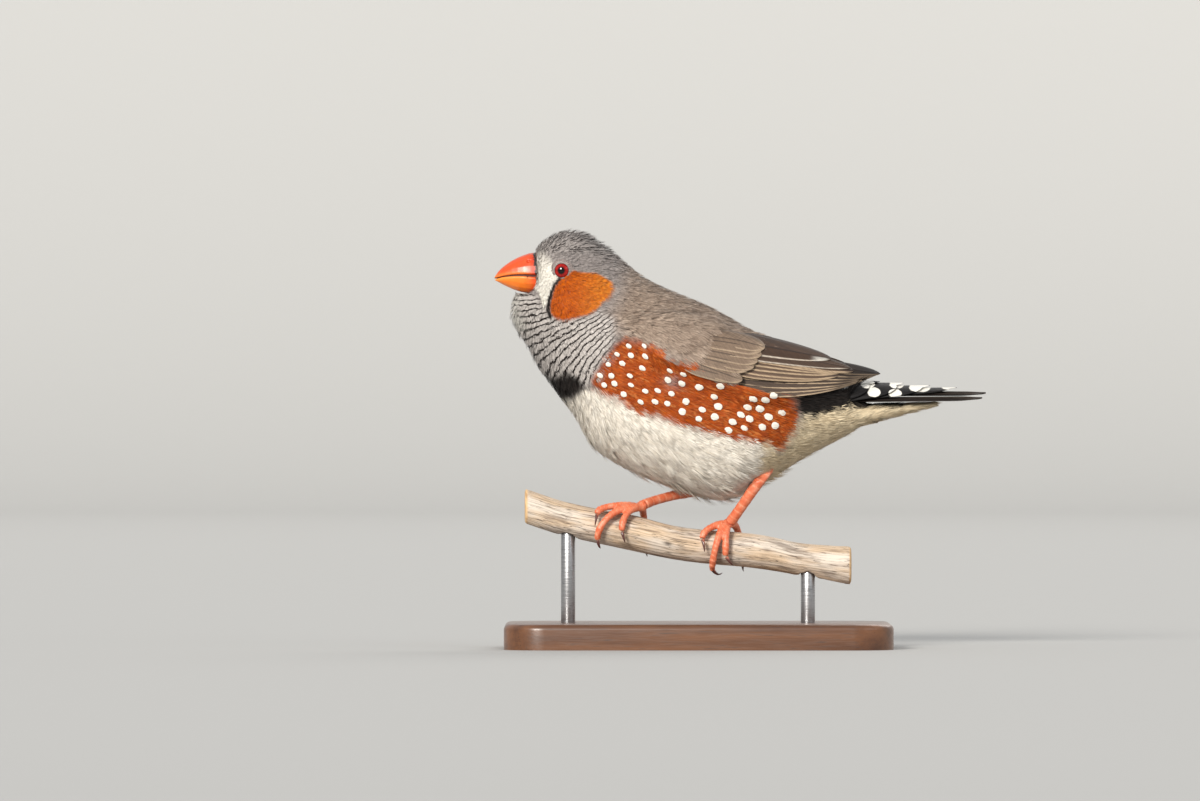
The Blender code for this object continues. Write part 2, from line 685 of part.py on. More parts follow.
def make_tail():
    """Tail feathers with tiers of coverts above and below them."""
    root_x = TAIL_ROOT_X + GAP
    tail = finish("tail", slab(TAIL_SLABS["tail"]), "black")
    vanes = []
    for k in range(TAIL_PAIRS):
        share = (k + 0.5) / TAIL_PAIRS
        for side in (-1, 1):
            root = Vector((root_x + 1, side * TAIL_ROOT_SPREAD * share, TAIL_TOP[0] - TAIL_DROP[0] * k))
            length = TAIL_LENGTH - 1 - TAIL_STEP_BACK * k * k
            tip = Vector((root_x + length + 0.15 * side, side * TAIL_TIP_SPREAD * share,
                          TAIL_TOP[1] - TAIL_DROP[1] * k - 0.05 * side))
            vanes.append(guide("vane", tail_vane(root, tip, TAIL_HALF_WIDTH, 0.5, TAIL_ARCH)))
    combine(tail, vanes, "UNION")

    upper = finish("tail_coverts_upper", slab(TAIL_SLABS["tail_coverts_upper"]), "black")
    vanes = []
    for tip_x, count, spread, root_z, tip_z, half_width in UPPER_TIERS:
        for k in range(count):
            aside = 2 * k / (count - 1) - 1
            root = Vector((root_x + 1, 0.9 * spread * aside, root_z - 0.3 * abs(aside)))
            tip = Vector((tip_x - 1.2 * aside * aside, spread * aside, tip_z - 0.35 * abs(aside)))
            vanes.append(guide("vane", tail_vane(root, tip, half_width, 0.9, 0.05)))
    combine(upper, vanes, "UNION")

    under = finish("tail_coverts_under", slab(TAIL_SLABS["tail_coverts_under"]), "cream")
    count, spread, (low_x, low_z), (high_x, high_z), half_width = UNDER_VANES
    vanes = []
    for k in range(count):
        aside = 2 * k / (count - 1) - 1
        root = Vector((low_x, spread * aside, low_z + 0.3 * abs(aside)))
        tip = Vector((high_x - 1.6 * aside * aside, spread * aside, high_z - 0.1 * abs(aside)))
        vanes.append(guide("vane", tail_vane(root, tip, half_width, 0.6, -0.05)))
    combine(under, vanes, "UNION")


def perch_middle(x):
    """Height of the branch's axis and its radius at x."""
    _, top, low = through(PERCH_RINGS, along(PERCH_RINGS, x))
    return (top + low) / 2, (top - low) / 2


def on_perch(x, turn, lift=0.0):
    """Point above the branch's smooth surface, turned from its top towards the camera's side."""
    height, radius = perch_middle(x)
    a = math.radians(turn)
    return Vector((x, PERCH_Y - (radius + lift) * math.sin(a), height + (radius + lift) * math.cos(a)))


def make_perch():
    """Short cut length of weathered branch, bored for the rods."""
    start, end = PERCH_RINGS[0][0], PERCH_RINGS[-1][0]
    rings = []
    for k in range(PERCH_LOOPS):
        x = start + (end - start) * k / (PERCH_LOOPS - 1)
        ring = []
        for j in range(PERCH_SIDES):
            turn = 360 * j / PERCH_SIDES
            wave = sum(size * math.sin(n * math.radians(turn) + phase + 0.06 * n * x)
                       for n, size, phase in PERCH_WAVES)
            swell = perch_middle(x)[1] * wave + PERCH_REST
            for knot_x, knot_turn, rise in KNOTS:
                around = (turn - knot_turn + 180) % 360 - 180
                off = math.hypot(x - knot_x, math.radians(around) * perch_middle(x)[1])
                swell += rise * math.exp(-(off / KNOT_SPREAD) ** 2)
            ring.append(on_perch(x, turn, swell if swell > KNOT_RISE else min(swell, PERCH_RISE)))
        rings.append(ring)
    perch = finish("perch", skinned(rings), "branch")
    bores = []
    for name, x in ROD_XS.items():
        low = on_perch(x, 180, 2).z
        high = on_perch(x, 180).z + ROD_SINK + GAP
        bores.append(guide("bore_" + name, post(x, low, high, ROD_RADIUS + GAP)))
    combine(perch, bores, "DIFFERENCE")


def post(x, low, high, radius):
    """Bmesh of an upright round bar under the branch's axis."""
    made = bmesh.new()
    middle = Vector((x, PERCH_Y, (low + high) / 2)) * MM
    bmesh.ops.create_cone(made, cap_ends=True, segments=ROD_SIDES, radius1=radius * MM,
                          radius2=radius * MM, depth=(high - low) * MM,
                          matrix=Matrix.Translation(middle))
    return made


def make_stand():
    """Flat base with eased edges, and the rods that carry the branch."""
    base = bmesh.new()
    size = Matrix.Diagonal((*(length * MM for length in BASE_SIZE), 1))
    place = Matrix.Translation(Vector((BASE_X, 0, BASE_SIZE[2] / 2)) * MM)
    bmesh.ops.create_cube(base, size=1, matrix=place @ size)
    upright = [e for e in base.edges if abs(e.verts[0].co.z - e.verts[1].co.z) > MM]
    bmesh.ops.bevel(base, geom=upright, offset=BASE_CORNER * MM, segments=7, profile=0.5,
                    affect="EDGES", material=-1)
    top = [e for e in base.edges if min(v.co.z for v in e.verts) > (BASE_SIZE[2] - 0.1) * MM]
    bmesh.ops.bevel(base, geom=top, offset=BASE_EASE * MM, segments=2, profile=0.5,
                    affect="EDGES", material=-1)
    slab_body = finish("stand_base", base, "walnut")
    bores = []
    floor_of_bore = BASE_SIZE[2] - ROD_SINK
    for name, x in ROD_XS.items():
        bores.append(guide("base_bore_" + name,
                           post(x, floor_of_bore - GAP, BASE_SIZE[2] + 1, ROD_RADIUS + GAP)))
        top_of_rod = on_perch(x, 180).z + ROD_SINK
        finish("stand_rod_" + name, post(x, floor_of_bore, top_of_rod, ROD_RADIUS), "steel", 1.0)
    combine(slab_body, bores, "DIFFERENCE")


def toe_path(side, toe):
    """Points of a toe's middle line, and of its claw's, round the branch."""
    root_x, root_turn = TOES[side]["root"]
    tip_x, tip_turn, claw_x, claw_turn = TOES[side][toe]
    reach = TOE_RADIUS + TOE_SEAT
    toe_points = []
    for k in range(TOE_LOOPS):
        share = k / (TOE_LOOPS - 1)
        x = root_x + (tip_x - root_x) * math.sin(share * math.pi / 2) ** 0.8
        turn = root_turn + (tip_turn - root_turn) * share
        rise = TOE_ROOT_RISE * (1 - share)
        toe_points.append(on_perch(x, turn, reach + rise))
    claw_points = []
    for k in range(CLAW_LOOPS):
        share = k / (CLAW_LOOPS - 1)
        x = tip_x + (claw_x - tip_x) * share
        turn = tip_turn + (claw_turn - tip_turn) * share
        lift = CLAW_ARCH * math.sin(math.pi * share) - CLAW_FALL * share
        claw_points.append(on_perch(x, turn, reach + lift))
    return toe_points, claw_points


def make_legs():
    """Bare legs, feet that grip the branch, and claws."""
    torso_room = skinned(BODY.rings(NECK_END, len(BODY_RINGS) - 1, TORSO_LOOPS, BODY_SIDES, GAP))
    for side in ("left", "right"):
        rows = LEG_PATHS[side]
        leg_rows = [through(rows, (len(rows) - 1) * k / (LEG_LOOPS - 1)) for k in range(LEG_LOOPS)]
        path = [Vector(row[:3]) for row in leg_rows]
        radii = [row[3] for row in leg_rows]
        leg = finish("leg_" + side, tube(path, radii, LEG_SIDES), "leg")
        combine(leg, [guide("belly_room", torso_room.copy())], "DIFFERENCE")
        make_foot(side, path, radii)
    torso_room.free()


def make_foot(side, leg_path, leg_radii):
    """Toes fused at their root and cut clear of the leg, with a claw on each."""
    ankle = leg_path[-1]
    root = on_perch(*TOES[side]["root"], TOE_RADIUS + TOE_SEAT + TOE_ROOT_RISE)
    foot = finish("foot_" + side, tube([ankle, ankle.lerp(root, 0.5), root], FOOT_RADII), "leg")
    end = ankle + (ankle - leg_path[-2]).normalized() * GAP
    ankle_room = tube(leg_path + [end], [radius + GAP for radius in leg_radii + leg_radii[-1:]])
    toes = []
    for toe in ("inner", "middle", "outer", "hind"):
        points, claw_points = toe_path(side, toe)
        last = len(points) - 1
        radii = [TOE_RADIUS + (TOE_TIP_RADIUS - TOE_RADIUS) * k / last
                 + TOE_SWELL * max(0, math.sin(3.2 * math.pi * k / last)) for k in range(last + 1)]
        toes.append(guide("toe", tube(points, radii)))
        away = (claw_points[1] - claw_points[0]).normalized() * GAP
        claw_radii = [CLAW_RADIUS + (CLAW_TIP_RADIUS - CLAW_RADIUS) * k / (CLAW_LOOPS - 1)
                      for k in range(CLAW_LOOPS)]
        claw = tube([spot + away for spot in claw_points], claw_radii, CLAW_SIDES)
        finish("claw_" + side + "_" + toe, claw, "claw")
    combine(foot, toes, "UNION")
    combine(foot, [guide("ankle_room", ankle_room)], "DIFFERENCE")


def main():
    """Builds the finch, its perch and its stand."""
    for body in list(bpy.data.objects):
        bpy.data.objects.remove(body, do_unlink=True)
    make_head()
    make_eyes()
    make_bill()
    make_neck_and_torso()
    make_wings()
    make_tail()
    make_perch()
    make_legs()
    make_stand()


main()
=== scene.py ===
import math

import bmesh
import bpy
import numpy as np
from mathutils import Matrix, Vector
from mathutils.bvhtree import BVHTree


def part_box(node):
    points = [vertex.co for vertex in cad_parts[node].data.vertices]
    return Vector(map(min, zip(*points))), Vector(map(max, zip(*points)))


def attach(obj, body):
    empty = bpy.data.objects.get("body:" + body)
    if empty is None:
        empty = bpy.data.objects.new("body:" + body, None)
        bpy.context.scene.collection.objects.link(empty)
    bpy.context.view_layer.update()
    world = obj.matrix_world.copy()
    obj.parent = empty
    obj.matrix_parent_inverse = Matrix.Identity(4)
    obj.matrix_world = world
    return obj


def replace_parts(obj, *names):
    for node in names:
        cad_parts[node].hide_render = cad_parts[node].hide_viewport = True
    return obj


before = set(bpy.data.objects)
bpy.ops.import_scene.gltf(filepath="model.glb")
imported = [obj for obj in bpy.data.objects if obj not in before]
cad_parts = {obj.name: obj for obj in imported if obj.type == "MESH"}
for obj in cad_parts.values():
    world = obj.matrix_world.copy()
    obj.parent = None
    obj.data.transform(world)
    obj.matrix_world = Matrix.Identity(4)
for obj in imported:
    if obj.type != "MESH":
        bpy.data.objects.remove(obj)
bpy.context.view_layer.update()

# The looks of a life-size zebra finch cock on a cut perch and a display stand.
# Sizes are millimetres, turned into Blender's metres by MM. The bird looks along -X and its left side faces -Y.
MM = 0.001
SEED = 31

# Camera: level, looking along +Y, with the framing of a 235.3 mm wide field at the bird
VIEW_CENTRE = (-27.25, 48.57)
VIEW_WIDTH = 235.3
VIEW_DISTANCE = 2500.0
SENSOR = 36.0

# Feather tracts on the bird's side: x, z, lie x, lie z, length, half width, spacing, depth of coat, stand of the tips
TRACTS = {
    "forehead": (-39.6, 78.0, 0.5, 0.85, 1.1, 0.36, 0.48, 0.40, 0.05),
    "crown_front": (-36.5, 80.5, 1.0, 0.45, 1.7, 0.44, 0.70, 0.50, 0.28),
    "crown": (-31.5, 81.5, 1.0, 0.22, 2.1, 0.50, 0.84, 0.60, 0.55),
    "hindcrown": (-27.5, 79.8, 1.0, -0.30, 2.3, 0.54, 0.86, 0.60, 0.50),
    "nape": (-23.0, 76.5, 1.0, -0.75, 2.4, 0.65, 0.78, 0.70, 0.08),
    "hindneck": (-17.5, 72.0, 1.0, -0.60, 3.0, 0.90, 0.95, 0.80, 0.08),
    "lore": (-38.2, 75.0, 0.75, -0.65, 0.9, 0.30, 0.42, 0.35, 0.00),
    "stripe": (-38.0, 70.0, 0.25, -1.0, 1.1, 0.33, 0.42, 0.35, 0.02),
    "brow": (-33.5, 77.8, 1.0, 0.15, 1.4, 0.38, 0.52, 0.45, 0.05),
    "ear": (-30.0, 75.5, 1.0, -0.25, 1.7, 0.46, 0.60, 0.50, 0.03),
    "cheek": (-31.5, 69.3, 1.0, -0.55, 1.9, 0.42, 0.52, 0.50, 0.06),
    "neck_side": (-25.0, 70.0, 1.0, -0.60, 2.3, 0.60, 0.72, 0.60, 0.04),
    "chin": (-42.2, 69.6, -0.8, -0.8, 1.0, 0.36, 0.40, 0.40, 0.00),
    "throat": (-43.9, 65.5, 0.0, -1.0, 2.1, 0.66, 0.74, 0.70, 0.42),
    "throat_side": (-38.0, 63.5, 0.30, -1.0, 2.2, 0.62, 0.66, 0.65, 0.12),
    "breast": (-41.0, 57.5, 0.50, -1.0, 2.6, 0.78, 0.78, 0.80, 0.38),
    "breast_side": (-32.0, 58.5, 0.72, -0.78, 2.5, 0.72, 0.74, 0.75, 0.08),
    "shoulder_front": (-25.0, 62.5, 1.0, -0.62, 2.7, 0.75, 0.82, 0.80, 0.05),
    "breast_low": (-34.5, 51.0, 0.62, -0.85, 3.0, 0.85, 0.82, 0.85, 0.12),
    "flank_front": (-24.0, 54.5, 1.0, -0.45, 3.6, 0.95, 0.95, 0.90, 0.10),
    "flank": (-9.0, 48.5, 1.0, -0.38, 4.6, 1.10, 1.05, 1.00, 0.14),
    "flank_rear": (4.0, 45.5, 1.0, -0.50, 4.6, 1.15, 1.05, 1.00, 0.16),
    "belly_front": (-31.0, 44.0, 0.60, -0.85, 4.6, 1.00, 0.95, 0.95, 0.18),
    "belly": (-18.0, 38.0, 0.72, -0.72, 6.0, 1.05, 1.00, 1.00, 0.24),
    "belly_under": (-12.0, 32.0, 0.90, -0.40, 6.0, 1.05, 1.00, 1.00, 0.40),
    "belly_rear": (-2.0, 33.5, 0.90, -0.50, 5.6, 1.10, 1.05, 1.00, 0.35),
    "vent": (10.5, 40.5, 1.0, -0.20, 5.0, 1.25, 1.10, 1.00, 0.22),
    "undertail": (25.0, 45.0, 1.0, 0.34, 5.6, 1.30, 1.15, 0.90, 0.10),
    "mantle": (-12.0, 69.0, 1.0, -0.50, 3.8, 1.05, 1.05, 0.90, 0.12),
    "back": (1.0, 63.5, 1.0, -0.55, 4.2, 1.20, 1.15, 0.95, 0.12),
    "rump": (14.0, 55.5, 1.0, -0.45, 4.4, 1.30, 1.20, 0.95, 0.08),
    "scapulars": (-16.0, 66.5, 1.0, -0.58, 3.6, 1.00, 1.00, 0.90, 0.08),
    "lesser_coverts": (-16.0, 61.0, 1.0, -0.85, 3.3, 0.90, 0.92, 0.80, 0.06),
    "median_coverts": (-8.0, 59.0, 1.0, -0.66, 3.8, 1.05, 1.00, 0.80, 0.08),
}
CLOSENESS = 0.9             # share of each tract's spacing that is used
COATS = {
    "coat_crown": ("forehead", "crown_front", "crown", "hindcrown", "nape", "brow"),
    "coat_face": ("lore", "stripe", "ear", "cheek", "neck_side", "chin"),
    "coat_breast": ("throat", "throat_side", "breast", "breast_side", "breast_low", "shoulder_front"),
    "coat_mantle": ("hindneck", "mantle", "back", "rump", "scapulars"),
    "coat_coverts": ("lesser_coverts", "median_coverts"),
    "coat_flanks": ("flank_front", "flank", "flank_rear"),
    "coat_belly": ("belly_front", "belly", "belly_under", "belly_rear"),
    "coat_vent": ("vent", "undertail"),
}
COAT_BARBS = {
    "coat_crown": 9, "coat_face": 11, "coat_breast": 11, "coat_mantle": 13, "coat_coverts": 13, "coat_flanks": 13,
    "coat_belly": 15, "coat_vent": 13,
}
COAT_FOLLOW = {"coat_face": 1.0, "coat_crown": 1.0, "coat_breast": 1.0}
COAT_WISPS = {"coat_belly": 3.0, "coat_vent": 1.8}

# Markings, drawn on the side as x, z outlines
CHEEK_PATCH = (
    (-35.2, 72.3), (-32.4, 74.0), (-30.8, 73.6), (-28.0, 73.5), (-26.0, 72.4), (-24.8, 71.6), (-24.6, 70.2),
    (-25.3, 68.8), (-26.6, 67.8), (-28.0, 66.2), (-29.4, 65.4), (-32.0, 64.7), (-34.4, 64.2), (-36.0, 64.6),
    (-36.9, 65.7), (-37.0, 67.2), (-36.6, 69.0), (-36.0, 70.9),
)
WHITE_STRIPE = (
    (-42.5, 77.2), (-38.6, 77.6), (-37.2, 76.6), (-36.5, 75.4), (-36.3, 73.8), (-35.3, 72.7), (-36.2, 71.2),
    (-36.8, 69.6), (-37.4, 68.0), (-38.3, 66.3), (-38.8, 68.4), (-39.3, 69.8), (-41.0, 71.0), (-43.0, 72.0),
)
TEAR_LINE = ((-34.9, 72.7), (-36.2, 71.0), (-36.8, 69.5), (-37.25, 68.0), (-37.35, 66.3), (-36.9, 64.8))
BREAST_BAND = (
    (-39.0, 53.2), (-36.5, 53.0), (-33.4, 54.0), (-31.2, 52.6), (-30.2, 51.2), (-32.6, 48.8), (-35.5, 48.6),
    (-38.4, 50.6),
)
FLANK_PATCH = (
    (-28.6, 50.6), (-28.4, 53.0), (-26.6, 56.2), (-24.4, 59.2), (-22.3, 60.8), (-17.4, 60.2), (-16.3, 58.6),
    (-14.8, 57.0), (-12.6, 56.8), (-10.0, 56.2), (-8.2, 54.8), (-5.8, 53.6), (-3.2, 52.2), (0.8, 51.8),
    (3.0, 50.9), (6.2, 50.2), (8.8, 49.2), (9.8, 46.2), (8.6, 42.2), (6.6, 38.6), (3.2, 40.6), (-2.0, 41.8), (-8.0, 42.8), (-12.0, 44.2), (-17.0, 46.0), (-22.0, 47.4), (-25.0, 49.4),
)
BELLY_WHITE = (
    (-37.6, 49.4), (-33.2, 48.8), (-30.6, 50.6), (-28.4, 50.8), (-25.0, 49.4), (-22.0, 47.4), (-17.0, 46.0),
    (-12.0, 44.2), (-8.0, 42.8), (-2.0, 41.8), (3.2, 40.6), (6.6, 38.6), (12.0, 30.0), (-10.0, 24.0),
    (-44.0, 34.0),
)
VENT_CREAM = (
    (3.2, 41.2), (6.6, 38.4), (8.6, 42.4), (10.6, 46.0), (17.0, 48.4), (22.0, 49.4), (44.0, 51.0), (44.0, 40.0),
    (20.0, 30.0), (0.0, 26.0),
)
BARRED_BREAST = (
    (-44.0, 69.8), (-40.4, 69.4), (-39.2, 68.6), (-37.6, 65.6), (-35.0, 64.2), (-31.0, 64.6), (-27.6, 65.8),
    (-24.6, 64.6), (-24.6, 60.4), (-27.0, 56.0), (-28.8, 52.4), (-31.0, 50.0), (-36.0, 46.0), (-50.0, 50.0),
    (-50.0, 68.0),
)
BROWN_BACK = (
    (-21.0, 78.0), (-22.6, 70.0), (-25.0, 64.6), (-22.0, 59.8), (-17.0, 58.6), (-12.0, 56.0), (-6.0, 52.0),
    (4.0, 49.0), (34.0, 49.0), (34.0, 80.0),
)
RUMP_BLACK = ((8.8, 51.0), (9.6, 46.6), (12.4, 45.6), (15.0, 46.6), (19.0, 47.0), (30.0, 47.0), (30.0, 53.0))
SPOTS = (
    (-27.2, 53.5), (-26.4, 51.6), (-25.6, 55.6), (-25.0, 53.4), (-23.9, 57.6), (-24.4, 51.9), (-22.9, 55.8),
    (-21.2, 57.4), (-21.6, 59.2), (-18.4, 57.2), (-18.6, 59.2), (-19.0, 54.9), (-21.4, 53.4), (-21.2, 51.6),
    (-22.6, 49.8), (-18.4, 50.4), (-16.0, 50.5), (-13.3, 49.9), (-13.6, 54.4), (-14.0, 52.6), (-11.0, 53.7),
    (-11.3, 51.9), (-7.9, 51.2), (-3.8, 51.4), (-5.0, 49.3), (-10.5, 48.4), (-11.2, 46.4),
    (-7.3, 46.8), (-8.0, 45.0), (-4.9, 45.4), (-4.2, 47.4), (-14.1, 48.0), (-16.5, 48.3), (-19.3, 48.3),
    (-1.4, 44.4), (-2.2, 42.8), (0.2, 45.8), (1.5, 47.3), (1.9, 45.0), (0.9, 43.2), (2.6, 48.9), (3.9, 47.0),
    (5.0, 48.7), (6.6, 49.5), (5.6, 45.4), (4.4, 43.4), (8.2, 46.2), (6.9, 43.7),
)
# Where the flank's feathers part and their pale down shows: x, z, half length, half height, strength
PARTINGS = ((-14.6, 53.0, 1.5, 1.1, 0.75), (-20.2, 60.4, 1.8, 0.8, 0.6), (-4.0, 53.0, 2.4, 0.8, 0.5))
# Above this line the flank's feathers give way to the wing's
FLANK_TOP = ((-24.0, 66.0), (-20.0, 60.0), (-12.0, 55.6), (-9.0, 53.8), (-2.4, 51.6), (0.8, 51.0), (6.0, 49.0), (20.0, 49.0))
SPOT_SIZE = (0.62, 0.84)
SPOT_SIDES = 20
SPOT_LIFT = 0.30

# Bars of the breast: a field over the side whose whole numbers are the bars, about 1 mm apart
BAR_X, BAR_XX, BAR_XZ, BAR_Z, BAR_ZZ = 3.08, 0.02, -0.02, 2.42, -0.0315
BAR_STEP = 1.02

# How far the tops of the legs slip inwards under the feathers, and the heights where that starts and ends
LEG_TUCK = 1.7
LEG_TUCK_Z = (32.4, 35.2)

# Where the bill meets the face
BILL_BASE_Z = (68.8, 72.8, 77.2)
BILL_BASE_X = (-39.0, -39.8, -40.4)

# Eyes
EYE = (-34.8, 74.3)
EYE_BALL = 1.95
IRIS = 1.40
PUPIL = 0.66
LID = 1.52
LID_THICK = 0.21
LID_SPREAD = 3.8            # how far the bare skin runs out under the feathers

# Folded wing: feathers of each tier as count, first root, last root, first tip, last tip (x, z), first and last half
# width, first and last bow of the shaft, depth under the wing's side at root and tip, and how blunt the tip is
WING_TIERS = {
    "primaries": (7, (-1.0, 57.0), (-5.0, 51.2), (27.6, 53.8), (24.6, 52.8), 1.25, 1.15, 0.3, -1.6, 2.20, 0.50, 0.55),
    "secondaries": (6, (-4.0, 59.4), (-5.0, 55.2), (22.2, 54.9), (18.8, 53.5), 1.6, 1.4, 0.3, -0.6, 1.15, 0.20, 0.45),
    "tertials": (2, (-4.0, 60.8), (-4.0, 58.9), (18.0, 56.7), (21.7, 54.9), 2.25, 1.8, 0.0, 0.2, 0.60, -0.05, -0.1),
    "greater_coverts": (8, (-8.0, 61.4), (-12.0, 56.2), (5.4, 58.8), (0.2, 52.3), 1.7, 1.5, 0.4, -0.2, 0.9, -0.25, 0.85),
}
TIER_JITTER = {"greater_coverts": 0.55, "tertials": 0.1, "secondaries": 0.25, "primaries": 0.12}
WING_BED_END = -0.5         # x where the arm under the long feathers ends
WING_BED_SINK = 1.3         # how far it lies inside the wing's side
UNDER_SKIN_END = 36.5       # x where the skin under the tail's coverts ends
LAST_ROOT = 38.2            # x of the last small feathers there
LAST_TIP = 39.2             # x that their tips reach
# The core under those feathers: x, half width, middle z and half height at both ends
UNDER_CORE = ((21.0, 6.1, 45.25, 3.15), (40.4, 1.4, 48.15, 0.65))
NO_COAT = (
    (-2.4, 60.4), (1.0, 60.2), (3.2, 60.6), (5.6, 63.4), (14.0, 62.0), (20.0, 59.6), (34.0, 57.0), (34.0, 50.0),
    (18.0, 50.2), (12.0, 49.5), (8.0, 49.8), (2.4, 51.2), (-2.4, 53.4), (-1.6, 57.2),
)
# The folded wing's lower edge, where the flank's coat runs smoothly on to it
WING_LOW_EDGE = (
    (-24.0, 63.5), (-20.0, 59.0), (-16.0, 56.2), (-12.0, 54.8), (-8.0, 53.4), (-4.0, 51.9), (0.0, 50.5),
    (4.0, 49.2), (10.0, 48.9), (14.0, 49.8), (20.0, 51.8),
)

# Tail
TAIL_ROOT_X = 20.0
TAIL_TIP_X = 48.4
TAIL_PAIRS = 6
TAIL_HALF_WIDTH = 1.75
TAIL_ROOT_SPREAD = 3.4
TAIL_TIP_SPREAD = 2.9
TAIL_TOP = (50.2, 50.25)
TAIL_DROP = (0.0, 0.25, 0.50, 1.02, 1.28, 1.54)      # of each pair under the middle one
# White marks of the upper coverts: x, z, half length, half height
TAIL_MARKS = (
    (25.2, 51.8, 1.45, 0.85), (26.4, 50.2, 1.30, 0.95), (30.9, 51.7, 1.45, 0.80), (30.5, 50.0, 1.30, 0.85),
    (35.4, 51.1, 2.15, 0.90), (41.1, 51.2, 1.45, 0.50), (21.0, 50.8, 0.65, 0.60), (18.8, 50.2, 0.45, 0.40),
    (20.8, 52.7, 0.90, 0.65),
)


def colour(red, green, blue):
    """A linear colour from the 0 to 255 values that a screen shows."""
    shown = np.array((red, green, blue)) / 255
    linear = np.where(shown <= 0.04045, shown / 12.92, ((shown + 0.055) / 1.055) ** 2.4)
    return (*linear, 1.0)


# Colours
GREY = colour(170, 162, 158)
GREY_DARK = colour(98, 91, 89)
BREAST_PALE = colour(206, 200, 195)
BAR_BLACK = colour(34, 30, 30)
BROWN = colour(184, 165, 148)
BROWN_DARK = colour(128, 110, 96)
BROWN_DEEP = colour(86, 70, 60)
CHESTNUT = colour(192, 88, 20)
CHESTNUT_DARK = colour(136, 50, 6)
CHESTNUT_PALE = colour(216, 138, 74)
BELLY = colour(246, 241, 231)
BELLY_SHADE = colour(218, 203, 180)
CREAM = colour(232, 216, 184)
CREAM_SHADE = colour(212, 190, 154)
ORANGE = colour(206, 100, 6)
ORANGE_DARK = colour(160, 62, 2)
ORANGE_PALE = colour(222, 138, 44)
WHITE = colour(230, 227, 218)
BLACK = colour(22, 20, 20)


def link(name, mesh, material=None):
    """A finished piece: its mesh on an object at the origin, riding on the model's one body."""
    piece = bpy.data.objects.new(name, mesh)
    bpy.context.scene.collection.objects.link(piece)
    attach(piece, "root")
    if material:
        piece.data.materials.append(material)
    return piece


def push(bm, distance):
    """Moves every vertex along its normal."""
    bm.normal_update()
    for vert in bm.verts:
        vert.co += vert.normal * distance


def add_under_core(bm):
    """Adds a tapering core that carries the coat out to the end of the tail's lower coverts."""
    for vert in bmesh.ops.create_cone(bm, cap_ends=True, segments=24, radius1=1, radius2=1, depth=1)["verts"]:
        x, half_width, middle, half_height = UNDER_CORE[vert.co.z > 0]
        vert.co = Vector((x, vert.co.y * half_width, middle - vert.co.x * half_height)) * MM


def fused(nodes, voxel, swell=0.0, relax=3, under_core=False):
    """A bmesh of CAD nodes melted into one fine, even skin. Swelling first closes the gaps between them."""
    bm = bmesh.new()
    for node in nodes:
        bm.from_mesh(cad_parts[node].data)
    bmesh.ops.remove_doubles(bm, verts=bm.verts, dist=1e-6)
    if under_core:
        add_under_core(bm)
    push(bm, swell * MM)
    mesh = bpy.data.meshes.new("fused")
    bm.to_mesh(mesh)
    holder = bpy.data.objects.new("fused", mesh)
    bpy.context.scene.collection.objects.link(holder)
    remesh = holder.modifiers.new("even", "REMESH")
    remesh.mode = "VOXEL"
    remesh.voxel_size = voxel * MM
    shown = bpy.data.meshes.new_from_object(holder.evaluated_get(bpy.context.evaluated_depsgraph_get()))
    bm.clear()
    bm.from_mesh(shown)
    bpy.data.objects.remove(holder)
    for _ in range(relax):
        bmesh.ops.smooth_vert(bm, verts=bm.verts, factor=0.5, use_axis_x=True, use_axis_y=True, use_axis_z=True)
    push(bm, -swell * MM)
    return bm


def end_at(bm, x):
    """Cuts a closed bmesh off behind x and closes the cut."""
    cut = bmesh.ops.bisect_plane(
        bm, geom=bm.verts[:] + bm.edges[:] + bm.faces[:], plane_co=(x * MM, 0, 0), plane_no=(1, 0, 0),
        clear_outer=True,
    )["geom_cut"]
    bmesh.ops.holes_fill(bm, edges=[part for part in cut if isinstance(part, bmesh.types.BMEdge)], sides=0)
    bmesh.ops.triangulate(bm, faces=[face for face in bm.faces if len(face.verts) > 4])


def to_mesh(name, bm, smooth=True):
    """Ends a bmesh as a mesh."""
    mesh = bpy.data.meshes.new(name)
    bm.to_mesh(mesh)
    bm.free()
    if smooth:
        mesh.shade_smooth()
    return mesh


def coordinates(mesh):
    """A mesh's points in millimetres, as an array."""
    flat = np.empty(len(mesh.vertices) * 3)
    mesh.vertices.foreach_get("co", flat)
    return flat.reshape(-1, 3) / MM


def paint(mesh, **values):
    """Stores values on a mesh's points for its material to read."""
    for name, value in values.items():
        mesh.attributes.new(name, "FLOAT", "POINT").data.foreach_set("value", np.asarray(value, np.float32))


def unit(vectors):
    return vectors / np.linalg.norm(vectors, axis=-1, keepdims=True).clip(1e-9)


class Ground:
    """A surface that feathers follow: the closest place to any point, with the surface's smooth normal there."""

    def __init__(self, mesh):
        corners = np.empty(len(mesh.loops), np.int64)
        mesh.loops.foreach_get("vertex_index", corners)
        starts = np.empty(len(mesh.polygons), np.int64)
        mesh.polygons.foreach_get("loop_start", starts)
        normals = np.empty(len(mesh.vertices) * 3)
        mesh.vertices.foreach_get("normal", normals)
        self.normals = unit(np.add.reduceat(normals.reshape(-1, 3)[corners], starts))
        self.tree = BVHTree.FromPolygons(
            [tuple(vert.co) for vert in mesh.vertices], [tuple(face.vertices) for face in mesh.polygons]
        )

    def nearest(self, points):
        """Places in millimetres, normals and faces."""
        found = [self.tree.find_nearest(point) for point in (points * MM).tolist()]
        faces = np.array([hit[2] for hit in found])
        return np.array([tuple(hit[0]) for hit in found]) / MM, self.normals[faces], faces


def blend(low, high, value):
    """A smooth step from 0 at low to 1 at high."""
    share = np.clip((value - low) / (high - low), 0, 1)
    return share * share * (3 - 2 * share)


